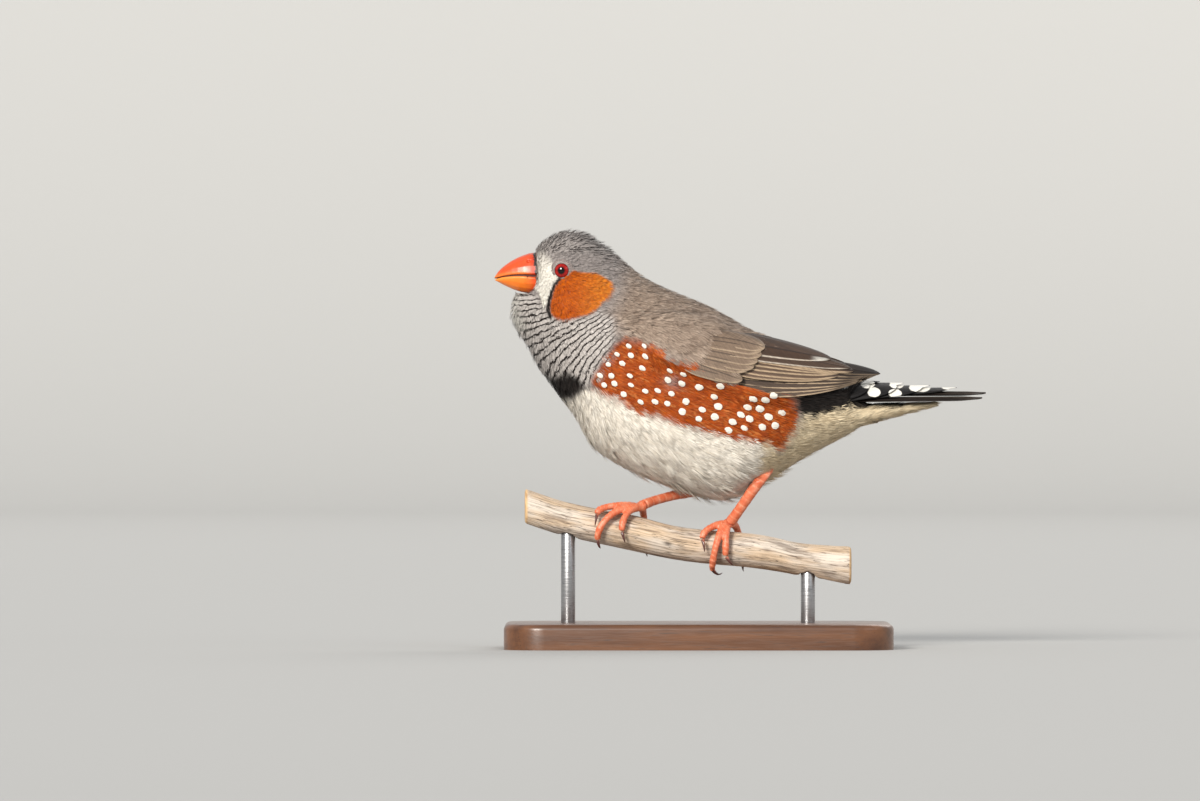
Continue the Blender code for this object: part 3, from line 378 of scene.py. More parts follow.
def line_distance(line, x, z):
    """Distance from points on the side to a line of short straight pieces."""
    least = np.full(x.shape, 1e9)
    for (ax, az), (bx, bz) in zip(line, line[1:]):
        run_x, run_z = bx - ax, bz - az
        share = np.clip(((x - ax) * run_x + (z - az) * run_z) / (run_x**2 + run_z**2), 0, 1)
        least = np.minimum(least, np.hypot(x - ax - share * run_x, z - az - share * run_z))
    return least


def within(outline, x, z, soft):
    """1 inside an outline on the side and 0 outside it, with an edge as wide as soft."""
    odd = np.zeros(x.shape, bool)
    ring = outline + outline[:1]
    for (ax, az), (bx, bz) in zip(ring, ring[1:]):
        crosses = (az > z) != (bz > z)
        with np.errstate(divide="ignore", invalid="ignore"):
            odd ^= crosses & (x < (bx - ax) * (z - az) / (bz - az) + ax)
    away = line_distance(ring, x, z)
    return blend(-soft / 2, soft / 2, np.where(odd, away, -away))


def bars(x, z):
    """The field of the breast's bars."""
    return (BAR_X * x + BAR_XX * x * x + BAR_XZ * x * z + BAR_Z * z + BAR_ZZ * z * z) / BAR_STEP


def markings(points):
    """How strongly each marking shows at points in millimetres. Both sides of the bird are marked alike."""
    x, y, z = points[:, 0], np.abs(points[:, 1]), points[:, 2]
    wobble = 0.35 * np.sin(x * 2.1 + z * 1.3) * np.sin(z * 1.7 - x * 0.9)
    side = blend(1.2, 3.0, y)
    ragged = 0.13 * np.sin(x * 7.1 + z * 5.3) * np.sin(z * 3.1 + 1)
    tear = 1 - blend(0.20, 0.42, line_distance(TEAR_LINE, x, z) + ragged)
    face = blend(-30.0, -31.0, x) * blend(62.0, 63.0, z)
    band = within(BREAST_BAND, x + wobble, z, 1.6)
    rump = within(RUMP_BLACK, x, z, 1.4)
    parting = sum(
        strength * np.exp(-(((x - at_x) / long) ** 2) - ((z - at_z) / high) ** 2)
        for at_x, at_z, long, high, strength in PARTINGS
    )
    return {
        "orange": within(CHEEK_PATCH, x, z, 0.5) * side,
        "white": within(WHITE_STRIPE, x, z, 0.35 + 1.5 * blend(74.5, 77.0, z)) * (1 - 0.55 * blend(74.0, 77.5, z)),
        "black": np.clip(tear * face * side + band + rump, 0, 1),
        "chestnut": within(FLANK_PATCH, x + wobble, z + wobble, 1.0) * blend(3.0, 5.0, y) * (1 - parting),
        "belly": within(BELLY_WHITE, x, z + wobble, 1.4),
        "cream": within(VENT_CREAM, x + wobble, z, 2.5),
        "brown": within(BROWN_BACK, x, z, 6.0),
        "barred": within(BARRED_BREAST, x, z, 2.0),
        "crown": blend(76.4, 78.2, z) * blend(-22.0, -26.0, x),
        "front": blend(6.0, 3.5, y) * blend(60.0, 64.0, z),
        "bars": bars(x, z),
    }


TRACT_NAMES = list(TRACTS)
TRACT_ROWS = np.array(list(TRACTS.values()))


def tracts(points):
    """The lie, length, half width, spacing, depth and stand of the coat at points, and the tract each is in."""
    x, y, z = points.T
    away = (x[:, None] - TRACT_ROWS[:, 0]) ** 2 + (z[:, None] - TRACT_ROWS[:, 1]) ** 2 + 0.4
    weight = away**-2.0
    weight /= weight.sum(1, keepdims=True)
    blended = weight @ TRACT_ROWS[:, 2:]
    return blended, away.argmin(1)


def lie_along(points, normals, blended):
    """The lie of the coat, turned into the surface at each point."""
    wish = np.stack((blended[:, 0], np.zeros(len(points)), blended[:, 1]), 1)
    return unit(wish - normals * (wish * normals).sum(1, keepdims=True))


def scatter(mesh, rng, tries):
    """Roots spread over a mesh, as close together as each tract asks."""
    points = coordinates(mesh)
    mesh.calc_loop_triangles()
    corners = np.empty(len(mesh.loop_triangles) * 3, np.int64)
    mesh.loop_triangles.foreach_get("vertices", corners)
    a, b, c = points[corners.reshape(-1, 3)].transpose(1, 0, 2)
    areas = np.linalg.norm(np.cross(b - a, c - a), axis=1)
    picked = rng.choice(len(areas), tries, p=areas / areas.sum())
    u, v = rng.random((2, tries, 1))
    flip = u + v > 1
    u, v = np.where(flip, 1 - u, u), np.where(flip, 1 - v, v)
    places = a[picked] + (b - a)[picked] * u + (c - a)[picked] * v
    blended, tract = tracts(places)
    spacing = blended[:, 4] * CLOSENESS
    cell = 1.2
    grid, kept = {}, []
    around = [(i, j, k) for i in (-1, 0, 1) for j in (-1, 0, 1) for k in (-1, 0, 1)]
    for index, ((x, y, z), gap) in enumerate(zip(places.tolist(), spacing.tolist())):
        i, j, k = int(x // cell), int(y // cell), int(z // cell)
        least = gap * gap
        near = (p for di, dj, dk in around for p in grid.get((i + di, j + dj, k + dk), ()))
        if all((x - px) ** 2 + (y - py) ** 2 + (z - pz) ** 2 >= least for px, py, pz in near):
            grid.setdefault((i, j, k), []).append((x, y, z))
            kept.append(index)
    return places[kept], tract[kept]


# One barb: how far along its points lie, on which side of its middle, and how wide it is there
BARB_ALONG = np.array((0.0, 0.0, 0.42, 0.42, 0.78, 0.78, 1.0))
BARB_SIDE = np.array((-0.8, 0.8, -1.0, 1.0, -0.66, 0.66, 0.0))
BARB_FACES = np.array(((0, 3, 1), (0, 2, 3), (2, 5, 3), (2, 4, 5), (4, 6, 5)))


def feathers(name, ground, roots, sizes, rng, barbs, follow, wisps):
    """Many small feathers as one mesh. Each is a fan of fine barbs that run out from its root.

    sizes has a row for each root: lie x, lie z, length, half width, spacing, depth, stand.
    follow says how far the markings follow the barbs, rather than the feather's root. wisps says how much further
    a few of them stand out.
    """
    count = len(roots)
    places, normals, _ = ground.nearest(roots)
    lie = lie_along(places, normals, sizes)
    lie = unit(lie + np.cross(normals, lie) * rng.normal(0, 0.07, (count, 1)))
    across = np.cross(normals, lie)
    length, half, depth, stand = (sizes[:, column, None, None] for column in (2, 3, 5, 6))
    shape = (count, barbs, 1)
    lane = np.linspace(-1, 1, barbs)[None, :, None] + rng.normal(0, 0.45 / barbs, shape)
    reach = length * rng.uniform(0.85, 1.15, (count, 1, 1)) * (1 - 0.24 * lane**2) * rng.normal(1, 0.07, shape)
    run = BARB_ALONG * reach
    wide = half * lane * (0.42 + 0.58 * BARB_ALONG**0.8) + half * rng.normal(0, 0.10, shape) * BARB_ALONG**2
    wide = wide + BARB_SIDE * half * 1.45 / barbs
    wisp = 1 + wisps * (rng.random((count, 1, 1)) < 0.12)
    lift = depth * (0.92 * np.minimum(1, BARB_ALONG / 0.8) ** 0.8 - 0.95) + stand * wisp * BARB_ALONG**2
    lift = lift - 0.10 * half * lane**2 + rng.normal(0, 0.018, shape) + rng.normal(0, 0.025, (count, 1, 1))

    out = (lane * 0.9 + BARB_SIDE / barbs).reshape(-1)
    flat = places[:, None, None] + lie[:, None, None] * run[..., None] + across[:, None, None] * wide[..., None]
    under, up, _ = ground.nearest(flat.reshape(-1, 3))
    points = under + up * np.broadcast_to(lift, run.shape).reshape(-1, 1)
    each = barbs * len(BARB_ALONG)
    faces = BARB_FACES[None] + (np.arange(count * barbs) * len(BARB_ALONG))[:, None, None]
    faces = faces.reshape(-1, 3)
    mesh = bpy.data.meshes.new(name)
    mesh.from_pydata((points * MM).tolist(), [], faces.tolist())
    mesh.shade_smooth()
    tilt = 0.26 * lane + rng.normal(0, 0.15, shape) + rng.normal(0, 0.05, (count, 1, 1)) + 0 * BARB_ALONG
    lean = (0.10 + rng.normal(0, 0.05, (count, 1, 1))) * (BARB_ALONG - 0.4) + 0 * lane
    shading = up + np.repeat(across, each, 0) * tilt.reshape(-1, 1) + np.repeat(lie, each, 0) * lean.reshape(-1, 1)
    mesh.normals_split_custom_set_from_vertices(unit(shading).tolist())

    root_of = np.repeat(places, each, 0)
    stray = np.repeat(rng.normal(0, 0.16, (count * barbs, 3)), len(BARB_ALONG), 0)
    values = markings(root_of + (points - root_of) * follow + stray * (1 - 0.7 * follow))
    values["bars"] = bars(points[:, 0], points[:, 2]) + np.repeat(rng.normal(0, 0.09, count), each)
    paint(
        mesh,
        along=np.tile(BARB_ALONG, count * barbs),
        across=out,
        tuft=np.repeat(rng.random(count), each),
        strand=np.repeat(rng.random(count * barbs), len(BARB_ALONG)),
        **values,
    )
    local = np.stack((out * 0.5, np.tile(BARB_ALONG, count * barbs)), 1)
    return mesh, faces, local, np.repeat(np.arange(count), each)


def skin_unwrap(skin):
    """Unwraps the skin's own shape into its OFBake map."""
    bpy.context.view_layer.objects.active = skin
    skin.select_set(True)
    skin.data.uv_layers.new(name="OFBake")
    bpy.ops.object.mode_set(mode="EDIT")
    bpy.ops.mesh.select_all(action="SELECT")
    bpy.ops.uv.smart_project(angle_limit=math.radians(66), island_margin=0.004)
    bpy.ops.object.mode_set(mode="OBJECT")
    skin.select_set(False)


def place_on_unwrap(skin, ground, roots):
    """Where each root lies on the skin's unwrap."""
    mesh = skin.data
    flat = np.empty(len(mesh.loops) * 2)
    mesh.uv_layers["OFBake"].data.foreach_get("uv", flat)
    flat = flat.reshape(-1, 2)
    faces = ground.nearest(roots)[2]
    return np.array([flat[list(mesh.polygons[face].loop_indices)].mean(0) for face in faces.tolist()])


PATCH = 0.003


def bake_map(mesh, faces, local, owner, placed):
    """The OFBake map of a coat piece: a small patch for each feather, at its root's place on the skin's unwrap."""
    at = placed[owner] + (local - (0.0, 0.5)) * PATCH
    layer = mesh.uv_layers.new(name="OFBake")
    layer.data.foreach_set("uv", at[faces.reshape(-1)].astype(np.float32).reshape(-1))


# Materials

class Nodes:
    """Short hands for building one node tree."""

    def __init__(self, tree):
        self.tree = tree

    def add(self, kind, **settings):
        node = self.tree.nodes.new(kind)
        for name, value in settings.items():
            setattr(node, name, value)
        return node

    def wire(self, source, target):
        self.tree.links.new(source, target)

    def feed(self, socket, value):
        """Links a socket to a value, or sets it."""
        if isinstance(value, bpy.types.NodeSocket):
            self.wire(value, socket)
        else:
            socket.default_value = value

    def mark(self, name):
        return self.add("ShaderNodeAttribute", attribute_name=name).outputs["Fac"]

    def math(self, operation, first, second=None, third=None, clamp=False):
        node = self.add("ShaderNodeMath", operation=operation, use_clamp=clamp)
        for socket, value in zip(node.inputs, (first, second, third)):
            if value is not None:
                self.feed(socket, value)
        return node.outputs[0]

    def mix(self, share, first, second, kind="MIX"):
        node = self.add("ShaderNodeMix", data_type="RGBA", blend_type=kind)
        self.feed(node.inputs[0], share)
        self.feed(node.inputs[6], first)
        self.feed(node.inputs[7], second)
        return node.outputs[2]

    def ranged(self, value, low, high, to_low=0.0, to_high=1.0, kind="SMOOTHSTEP"):
        node = self.add("ShaderNodeMapRange", interpolation_type=kind)
        for socket, number in zip(node.inputs, (value, low, high, to_low, to_high)):
            self.feed(socket, number)
        return node.outputs[0]

    def vector(self, x, y, z):
        node = self.add("ShaderNodeCombineXYZ")
        for socket, value in zip(node.inputs, (x, y, z)):
            self.feed(socket, value)
        return node.outputs[0]

    def place(self, scale=1 / MM):
        """Object coordinates in millimetres, times a scale."""
        mapping = self.add("ShaderNodeMapping")
        mapping.inputs["Scale"].default_value = scale if isinstance(scale, tuple) else (scale,) * 3
        self.wire(self.add("ShaderNodeTexCoord").outputs["Object"], mapping.inputs["Vector"])
        return mapping.outputs[0]

    def grain(self, sizes, turn):
        """Object coordinates in units of sizes millimetres, along a grain that slopes down and back by turn."""
        mapping = self.add("ShaderNodeMapping", vector_type="TEXTURE")
        mapping.inputs["Rotation"].default_value = (0.0, turn, 0.0)
        mapping.inputs["Scale"].default_value = tuple(size * MM for size in sizes)
        self.wire(self.add("ShaderNodeTexCoord").outputs["Object"], mapping.inputs["Vector"])
        return mapping.outputs[0]

    def noise(self, vector, scale, detail=3.0, roughness=0.5):
        node = self.add("ShaderNodeTexNoise")
        self.wire(vector, node.inputs["Vector"])
        node.inputs["Scale"].default_value = scale
        node.inputs["Detail"].default_value = detail
        node.inputs["Roughness"].default_value = roughness
        return node.outputs[0]

    def bump(self, height, strength, distance):
        node = self.add("ShaderNodeBump")
        node.inputs["Strength"].default_value = strength
        node.inputs["Distance"].default_value = distance * MM
        self.wire(height, node.inputs["Height"])
        return node.outputs["Normal"]


def group(name, outputs, inputs=()):
    """An empty shader node group with named outputs and inputs."""
    tree = bpy.data.node_groups.new(name, "ShaderNodeTree")
    for label, kind in outputs:
        tree.interface.new_socket(label, in_out="OUTPUT", socket_type=kind)
    for label, kind, value in inputs:
        tree.interface.new_socket(label, in_out="INPUT", socket_type=kind).default_value = value
    nodes = Nodes(tree)
    return nodes, nodes.add("NodeGroupInput"), nodes.add("NodeGroupOutput")


def barb_group():
    """Fine barbs on any feather: a streak value, low between the barbs where the materials paint shade, and a height,
    from the feather's own across and along values.
    """
    nodes, given, result = group(
        "Barbs", (("Streak", "NodeSocketFloat"), ("Height", "NodeSocketFloat")),
        (("Count", "NodeSocketFloat", 9.0), ("Slant", "NodeSocketFloat", 0.6)),
    )
    across, along, tuft = nodes.mark("across"), nodes.mark("along"), nodes.mark("tuft")
    aside = nodes.math("ABSOLUTE", across)
    slanted = nodes.math("MULTIPLY_ADD", aside, given.outputs["Slant"], nodes.math("MULTIPLY", along, -1.0))
    lane = nodes.math("ADD", across, nodes.math("MULTIPLY", slanted, 0.5))
    spot = nodes.vector(
        nodes.math("MULTIPLY", lane, given.outputs["Count"]),
        nodes.math("MULTIPLY", along, 1.2),
        nodes.math("MULTIPLY", tuft, 57.0),
    )
    streak = nodes.noise(spot, 1.0, 2.0, 0.6)
    nodes.wire(streak, result.inputs["Streak"])
    nodes.wire(nodes.math("MULTIPLY", streak, 1.0), result.inputs["Height"])
    return nodes.tree


def plumage_group():
    """Colours of the small feathers and of the skin under them, from the markings stored on both."""
    nodes, _, result = group("Plumage", (("Colour", "NodeSocketColor"), ("Roughness", "NodeSocketFloat")))
    tuft, along, strand = nodes.mark("tuft"), nodes.mark("along"), nodes.mark("strand")
    place = nodes.place()
    split = nodes.add("ShaderNodeSeparateXYZ")
    nodes.wire(place, split.inputs[0])
    cloud = nodes.noise(place, 0.35, 3.0)
    fleck = nodes.noise(place, 1.9, 2.0)
    streaks = nodes.noise(nodes.grain((3.2, 0.55, 0.42), math.radians(24)), 1.0, 3.0, 0.6)
    shade = nodes.math("MULTIPLY_ADD", tuft, 0.30, nodes.math("MULTIPLY", cloud, 0.55))
    shade = nodes.math("MULTIPLY_ADD", strand, 0.42, shade)
    shade = nodes.ranged(shade, 0.20, 1.02, kind="LINEAR")
    tip = nodes.ranged(along, 0.55, 1.0)

    grey = nodes.mix(nodes.math("MULTIPLY", shade, 0.75), GREY, GREY_DARK)
    middle = nodes.ranged(nodes.math("ABSOLUTE", nodes.mark("across")), 0.28, 0.60, 1.0, 0.0)
    dark = nodes.math("MULTIPLY", middle, nodes.ranged(tuft, 0.20, 0.35))
    dark = nodes.math("MULTIPLY", dark, nodes.ranged(along, 0.40, 0.55))
    dark = nodes.math("MULTIPLY", dark, nodes.ranged(along, 0.86, 0.98, 1.0, 0.0))
    grey = nodes.mix(nodes.math("MULTIPLY", nodes.mark("crown"), 0.22), grey, BREAST_PALE)
    crown = nodes.math("MULTIPLY", nodes.mark("crown"), dark)
    grey = nodes.mix(crown, grey, BAR_BLACK)
    brown = nodes.mix(shade, BROWN, BROWN_DARK)
    brown = nodes.mix(nodes.ranged(streaks, 0.56, 0.70, 0.0, 0.45), brown, BROWN_DEEP)
    body = nodes.mix(nodes.mark("brown"), grey, brown)

    wave = nodes.noise(place, 0.55, 2.0)
    phase = nodes.math("FRACT", nodes.math("MULTIPLY_ADD", wave, 0.9, nodes.mark("bars")))
    line = nodes.math("ABSOLUTE", nodes.math("SUBTRACT", phase, 0.5))
    width = nodes.ranged(fleck, 0.3, 0.7, 0.13, 0.23)
    line = nodes.ranged(nodes.math("DIVIDE", line, width), 0.55, 1.0, 1.0, 0.0)
    pale = nodes.mix(nodes.math("MULTIPLY", shade, 0.5), BREAST_PALE, GREY)
    barred = nodes.mix(line, pale, BAR_BLACK)
    fringe = nodes.math("MULTIPLY", nodes.mark("front"), nodes.ranged(along, 0.40, 0.80, 0.0, 0.9))
    barred = nodes.mix(fringe, barred, WHITE)
    body = nodes.mix(nodes.mark("barred"), body, barred)

    chestnut = nodes.mix(shade, CHESTNUT, CHESTNUT_DARK)
    chestnut = nodes.mix(nodes.ranged(streaks, 0.50, 0.72, 0.0, 0.65), chestnut, CHESTNUT_PALE)
    body = nodes.mix(nodes.mark("chestnut"), body, chestnut)
    belly = nodes.mix(nodes.math("MULTIPLY", shade, 0.4), BELLY, BELLY_SHADE)
    belly = nodes.mix(nodes.ranged(streaks, 0.52, 0.74, 0.0, 0.35), belly, BELLY_SHADE)
    body = nodes.mix(nodes.mark("belly"), body, belly)
    body = nodes.mix(nodes.mark("cream"), body, nodes.mix(nodes.math("MULTIPLY", shade, 0.7), CREAM, CREAM_SHADE))
    orange = nodes.mix(shade, ORANGE, ORANGE_DARK)
    rear = nodes.math("MULTIPLY", nodes.ranged(split.outputs["X"], -34.0, -25.0), nodes.ranged(fleck, 0.3, 0.7, 0.3, 0.8))
    body = nodes.mix(nodes.mark("orange"), body, nodes.mix(rear, orange, ORANGE_PALE))
    body = nodes.mix(nodes.mark("white"), body, nodes.mix(nodes.math("MULTIPLY", strand, 0.25), WHITE, BELLY_SHADE))
    body = nodes.mix(nodes.mark("black"), body, BLACK)
    body = nodes.mix(nodes.math("MULTIPLY", tip, 0.015), body, WHITE)
    nodes.wire(body, result.inputs["Colour"])
    nodes.wire(nodes.ranged(shade, 0.0, 1.0, 0.52, 0.68), result.inputs["Roughness"])
    return nodes.tree


def material(name, roughness=0.5):
    """A new Principled material, its nodes and its shader."""
    made = bpy.data.materials.new(name)
    made.use_nodes = True
    nodes = Nodes(made.node_tree)
    shader = made.node_tree.nodes["Principled BSDF"]
    shader.inputs["Roughness"].default_value = roughness
    return made, nodes, shader


def use(nodes, tree, **values):
    node = nodes.add("ShaderNodeGroup", node_tree=tree)
    for name, value in values.items():
        nodes.feed(node.inputs[name], value)
    return node


def plumage_material(name, barbs, plumage, streaks, strength):
    """The coat's finish: marked colour, with painted shade darkening it between the barbs."""
    made, nodes, shader = material(name)
    fine = use(nodes, barbs, Count=streaks)
    colours = use(nodes, plumage)
    # Painted shade between the barbs: near-black mixed in where the barb streak is low, as in the bump's grooves.
    dark = nodes.ranged(fine.outputs["Streak"], 0.34, 0.62, strength, 0.0)
    shaded = nodes.mix(dark, colours.outputs["Colour"], (0.05, 0.035, 0.03, 1.0))
    nodes.wire(shaded, shader.inputs["Base Color"])
    nodes.wire(colours.outputs["Roughness"], shader.inputs["Roughness"])
    nodes.wire(nodes.bump(fine.outputs["Height"], 0.35, 0.08), shader.inputs["Normal"])
    shader.inputs["Specular IOR Level"].default_value = 0.07
    return made


def skin_material(plumage):
    """Bare skin and down under the coat, with the coat's markings darkened in patches by painted shade of the coat
    above.
    """
    made, nodes, shader = material("skin_under_coat", 0.8)
    colours = use(nodes, plumage)
    down = nodes.noise(nodes.place(), 3.0, 4.0, 0.7)
    # Painted shade: the marking colours darkened by about a third towards near-black, as deep under the coat; the down
    # noise sets where it shows.
    dark = nodes.mix(0.35, colours.outputs["Colour"], (0.03, 0.025, 0.022, 1.0))
    nodes.wire(nodes.mix(nodes.ranged(down, 0.3, 0.7), dark, colours.outputs["Colour"]), shader.inputs["Base Color"])
    nodes.wire(nodes.bump(down, 0.5, 0.15), shader.inputs["Normal"])
    return made


def quill_material(name, barbs, centre, edge, tip, edge_width, tip_start=0.7, dark_side=0.0, edge_end=0.9, spotted=False):
    """Flight and tail feathers: a dark vane with a pale edge, a shaft and slanting barbs, with painted shade between
    the barbs.
    """
    made, nodes, shader = material(name, 0.55)
    fine = use(nodes, barbs, Count=26.0, Slant=1.6)
    across, along, tuft = nodes.mark("across"), nodes.mark("along"), nodes.mark("tuft")
    body = nodes.mix(nodes.ranged(along, tip_start, 1.0), centre, tip)
    body = nodes.mix(nodes.ranged(tuft, 0.0, 1.0, 0.0, 0.25), body, BROWN_DARK)
    outwards = nodes.math("MULTIPLY_ADD", nodes.ranged(along, 0.80, 0.95), 0.22, across)
    outer = nodes.ranged(outwards, 1.0 - edge_width, 1.0 - edge_width * 0.35)
    fade = nodes.ranged(along, edge_end, edge_end + 0.1, 1.0, 0.3)
    body = nodes.mix(nodes.math("MULTIPLY", outer, fade), body, edge)
    if spotted:
        spot = nodes.math("MULTIPLY", nodes.ranged(along, 0.80, 0.90), nodes.ranged(along, 0.94, 0.99, 1.0, 0.0))
        spot = nodes.math("MULTIPLY", spot, nodes.ranged(tuft, 0.49, 0.51, 0.7, 0.0))
        body = nodes.mix(nodes.math("MULTIPLY", spot, nodes.ranged(across, 0.0, 0.3)), body, WHITE)
    inner = nodes.ranged(across, -0.2, -1.0, 0.0, dark_side)
    body = nodes.mix(inner, body, BLACK)
    aside = nodes.math("ABSOLUTE", across)
    body = nodes.mix(nodes.ranged(aside, 0.05, 0.11, 0.55, 0.0), body, BAR_BLACK)
    slanting = nodes.math("MULTIPLY_ADD", along, 46.0, nodes.math("MULTIPLY", aside, -5.0))
    slanting = nodes.noise(nodes.vector(slanting, nodes.math("MULTIPLY", tuft, 31.0), 0.0), 1.0, 1.0)
    body = nodes.mix(nodes.ranged(slanting, 0.40, 0.60, 0.22, 0.0), body, BAR_BLACK)
    # Painted shade between the barbs: near-black mixed in where the barb streak is low, as in the bump's grooves.
    dark = nodes.ranged(fine.outputs["Streak"], 0.34, 0.62, 0.42, 0.0)
    nodes.wire(nodes.mix(dark, body, (0.02, 0.015, 0.012, 1.0)), shader.inputs["Base Color"])
    nodes.wire(nodes.bump(fine.outputs["Height"], 0.4, 0.06), shader.inputs["Normal"])
    shader.inputs["Specular IOR Level"].default_value = 0.2
    return made


def barred_material(barbs):
    """Upper tail coverts: black, crossed by broad white bars, with painted shade between the barbs."""
    made, nodes, shader = material("barred_coverts", 0.5)
    fine = use(nodes, barbs, Count=14.0, Slant=0.8)
    place = nodes.place()
    split = nodes.add("ShaderNodeSeparateXYZ")
    nodes.wire(place, split.inputs[0])
    ragged = nodes.math("MULTIPLY_ADD", nodes.noise(place, 1.4, 2.0), 0.5, -0.25)
    white = 0.0
    for x, z, half_length, half_height in TAIL_MARKS:
        off_x = nodes.math("DIVIDE", nodes.math("SUBTRACT", split.outputs["X"], x), half_length)
        off_z = nodes.math("DIVIDE", nodes.math("SUBTRACT", split.outputs["Z"], z), half_height)
        off = nodes.math("MULTIPLY_ADD", off_x, off_x, nodes.math("MULTIPLY", off_z, off_z))
        mark = nodes.ranged(nodes.math("ADD", off, ragged), 0.8, 1.1, 1.0, 0.0)
        white = nodes.math("MAXIMUM", mark, white)
    body = nodes.mix(white, BLACK, WHITE)
    # Painted shade between the barbs: black mixed in where the barb streak is low, as in the bump's grooves.
    dark = nodes.ranged(fine.outputs["Streak"], 0.34, 0.62, 0.20, 0.0)
    nodes.wire(nodes.mix(dark, body, BLACK), shader.inputs["Base Color"])
    nodes.wire(nodes.bump(fine.outputs["Height"], 0.3, 0.06), shader.inputs["Normal"])
    shader.inputs["Specular IOR Level"].default_value = 0.2
    return made


def bill_material(name, ridge, edge, base):
    """Waxy horn: deeper at the base, paler at the cutting edge, with faint lines of growth and painted shade along the
    mouth line.
    """
    made, nodes, shader = material(name, 0.3)
    place = nodes.place()
    split = nodes.add("ShaderNodeSeparateXYZ")
    nodes.wire(place, split.inputs[0])
    cloud = nodes.noise(place, 0.6, 4.0)
    body = nodes.mix(nodes.ranged(nodes.mark("edge"), 0.0, 1.0), ridge, edge)
    body = nodes.mix(nodes.ranged(split.outputs["X"], -42.5, -40.0), body, base)
    body = nodes.mix(nodes.ranged(cloud, 0.45, 0.75, 0.0, 0.25), body, edge)
    stretched = nodes.place((600.0, 2500.0, 2500.0))
    lines = nodes.noise(stretched, 1.0, 3.0)
    body = nodes.mix(nodes.ranged(lines, 0.5, 0.75, 0.0, 0.18), body, base)
    # Painted shade: the horn darkened to deep red-brown along the mouth line, where the two halves meet.
    body = nodes.mix(nodes.math("MULTIPLY", nodes.mark("mouth"), 0.85), body, colour(70, 24, 16))
    jagged = nodes.math("MULTIPLY_ADD", nodes.noise(place, 2.4, 2.0), 0.45, nodes.mark("base"))
    body = nodes.mix(nodes.ranged(jagged, -0.30, -0.20), body, BLACK)
    nodes.wire(body, shader.inputs["Base Color"])
    nodes.wire(nodes.ranged(cloud, 0.3, 0.7, 0.34, 0.50), shader.inputs["Roughness"])
    nodes.wire(nodes.bump(lines, 0.25, 0.05), shader.inputs["Normal"])
    shader.inputs["Subsurface Weight"].default_value = 0.05
    shader.inputs["Subsurface Radius"].default_value = (0.0012, 0.0005, 0.0002)
    shader.inputs["Subsurface Scale"].default_value = 1.0
    shader.inputs["Coat Weight"].default_value = 0.2
    shader.inputs["Coat Roughness"].default_value = 0.3
    return made


def gape_shade_material():
    """The inside of the closed bill, seen as the line of the mouth, coloured dark red-brown as painted shade of the
    slit between the halves.
    """
    made, _, shader = material("bill_gape_shade", 0.6)
    shader.inputs["Base Color"].default_value = colour(74, 26, 14)
    return made


def eye_material():
    """A red iris with fine spokes round a black pupil, under a wet surface."""
    made, nodes, shader = material("eye_red", 0.12)
    out, spoke = nodes.mark("out"), nodes.mark("spoke")
    spokes = nodes.noise(nodes.vector(nodes.math("MULTIPLY", spoke, 30.0), nodes.math("MULTIPLY", out, 0.6), 0.0), 1.0)
    iris = nodes.mix(nodes.ranged(spokes, 0.3, 0.7), colour(112, 8, 6), colour(172, 26, 16))
    iris = nodes.mix(nodes.ranged(out, PUPIL, PUPIL + 0.25, 0.75, 0.0), iris, colour(60, 4, 4))
    iris = nodes.mix(nodes.ranged(out, IRIS - 0.22, IRIS), iris, colour(70, 8, 8))
    body = nodes.mix(nodes.ranged(out, PUPIL - 0.04, PUPIL + 0.04), (0.003, 0.003, 0.003, 1.0), iris)
    body = nodes.mix(nodes.ranged(out, IRIS - 0.03, IRIS + 0.06), body, (0.01, 0.008, 0.008, 1.0))
    body = nodes.mix(nodes.ranged(out, LID - 0.02, LID + 0.04), body, colour(124, 114, 110))
    nodes.wire(body, shader.inputs["Base Color"])
    shader.inputs["Specular IOR Level"].default_value = 0.0
    shader.inputs["Coat Weight"].default_value = 0.9
    shader.inputs["Coat Roughness"].default_value = 0.02
    shader.inputs["Coat IOR"].default_value = 1.42
    return made


def lid_material():
    """Bare, finely scaled grey skin round the eye."""
    made, nodes, shader = material("eye_lid", 0.5)
    scale = nodes.noise(nodes.place(), 5.0, 2.0)
    nodes.wire(nodes.mix(nodes.ranged(scale, 0.35, 0.65), colour(96, 86, 84), colour(142, 130, 124)), shader.inputs["Base Color"])
    nodes.wire(nodes.bump(scale, 0.4, 0.05), shader.inputs["Normal"])
    return made


def leg_material():
    """Orange-pink scaly skin, paler along the edges of the scutes."""
    made, nodes, shader = material("leg_skin", 0.42)
    place = nodes.place()
    cloud = nodes.noise(place, 0.8, 4.0)
    fine = nodes.noise(place, 4.5, 3.0)
    body = nodes.mix(nodes.ranged(cloud, 0.35, 0.7), colour(204, 100, 64), colour(216, 126, 92))
    groove = nodes.mark("groove")
    body = nodes.mix(nodes.ranged(cloud, 0.55, 0.75, 0.0, 0.5), body, colour(222, 150, 128))
    body = nodes.mix(nodes.math("MULTIPLY", groove, nodes.ranged(fine, 0.35, 0.6, 0.1, 0.5)), body, colour(236, 180, 146))
    body = nodes.mix(nodes.ranged(fine, 0.55, 0.75, 0.0, 0.35), body, colour(176, 66, 42))
    nodes.wire(body, shader.inputs["Base Color"])
    nodes.wire(nodes.bump(fine, 0.35, 0.05), shader.inputs["Normal"])
    nodes.wire(nodes.ranged(fine, 0.3, 0.7, 0.36, 0.55), shader.inputs["Roughness"])
    shader.inputs["Subsurface Weight"].default_value = 0.1
    shader.inputs["Subsurface Radius"].default_value = (0.001, 0.0004, 0.0003)
    shader.inputs["Subsurface Scale"].default_value = 1.0
    return made


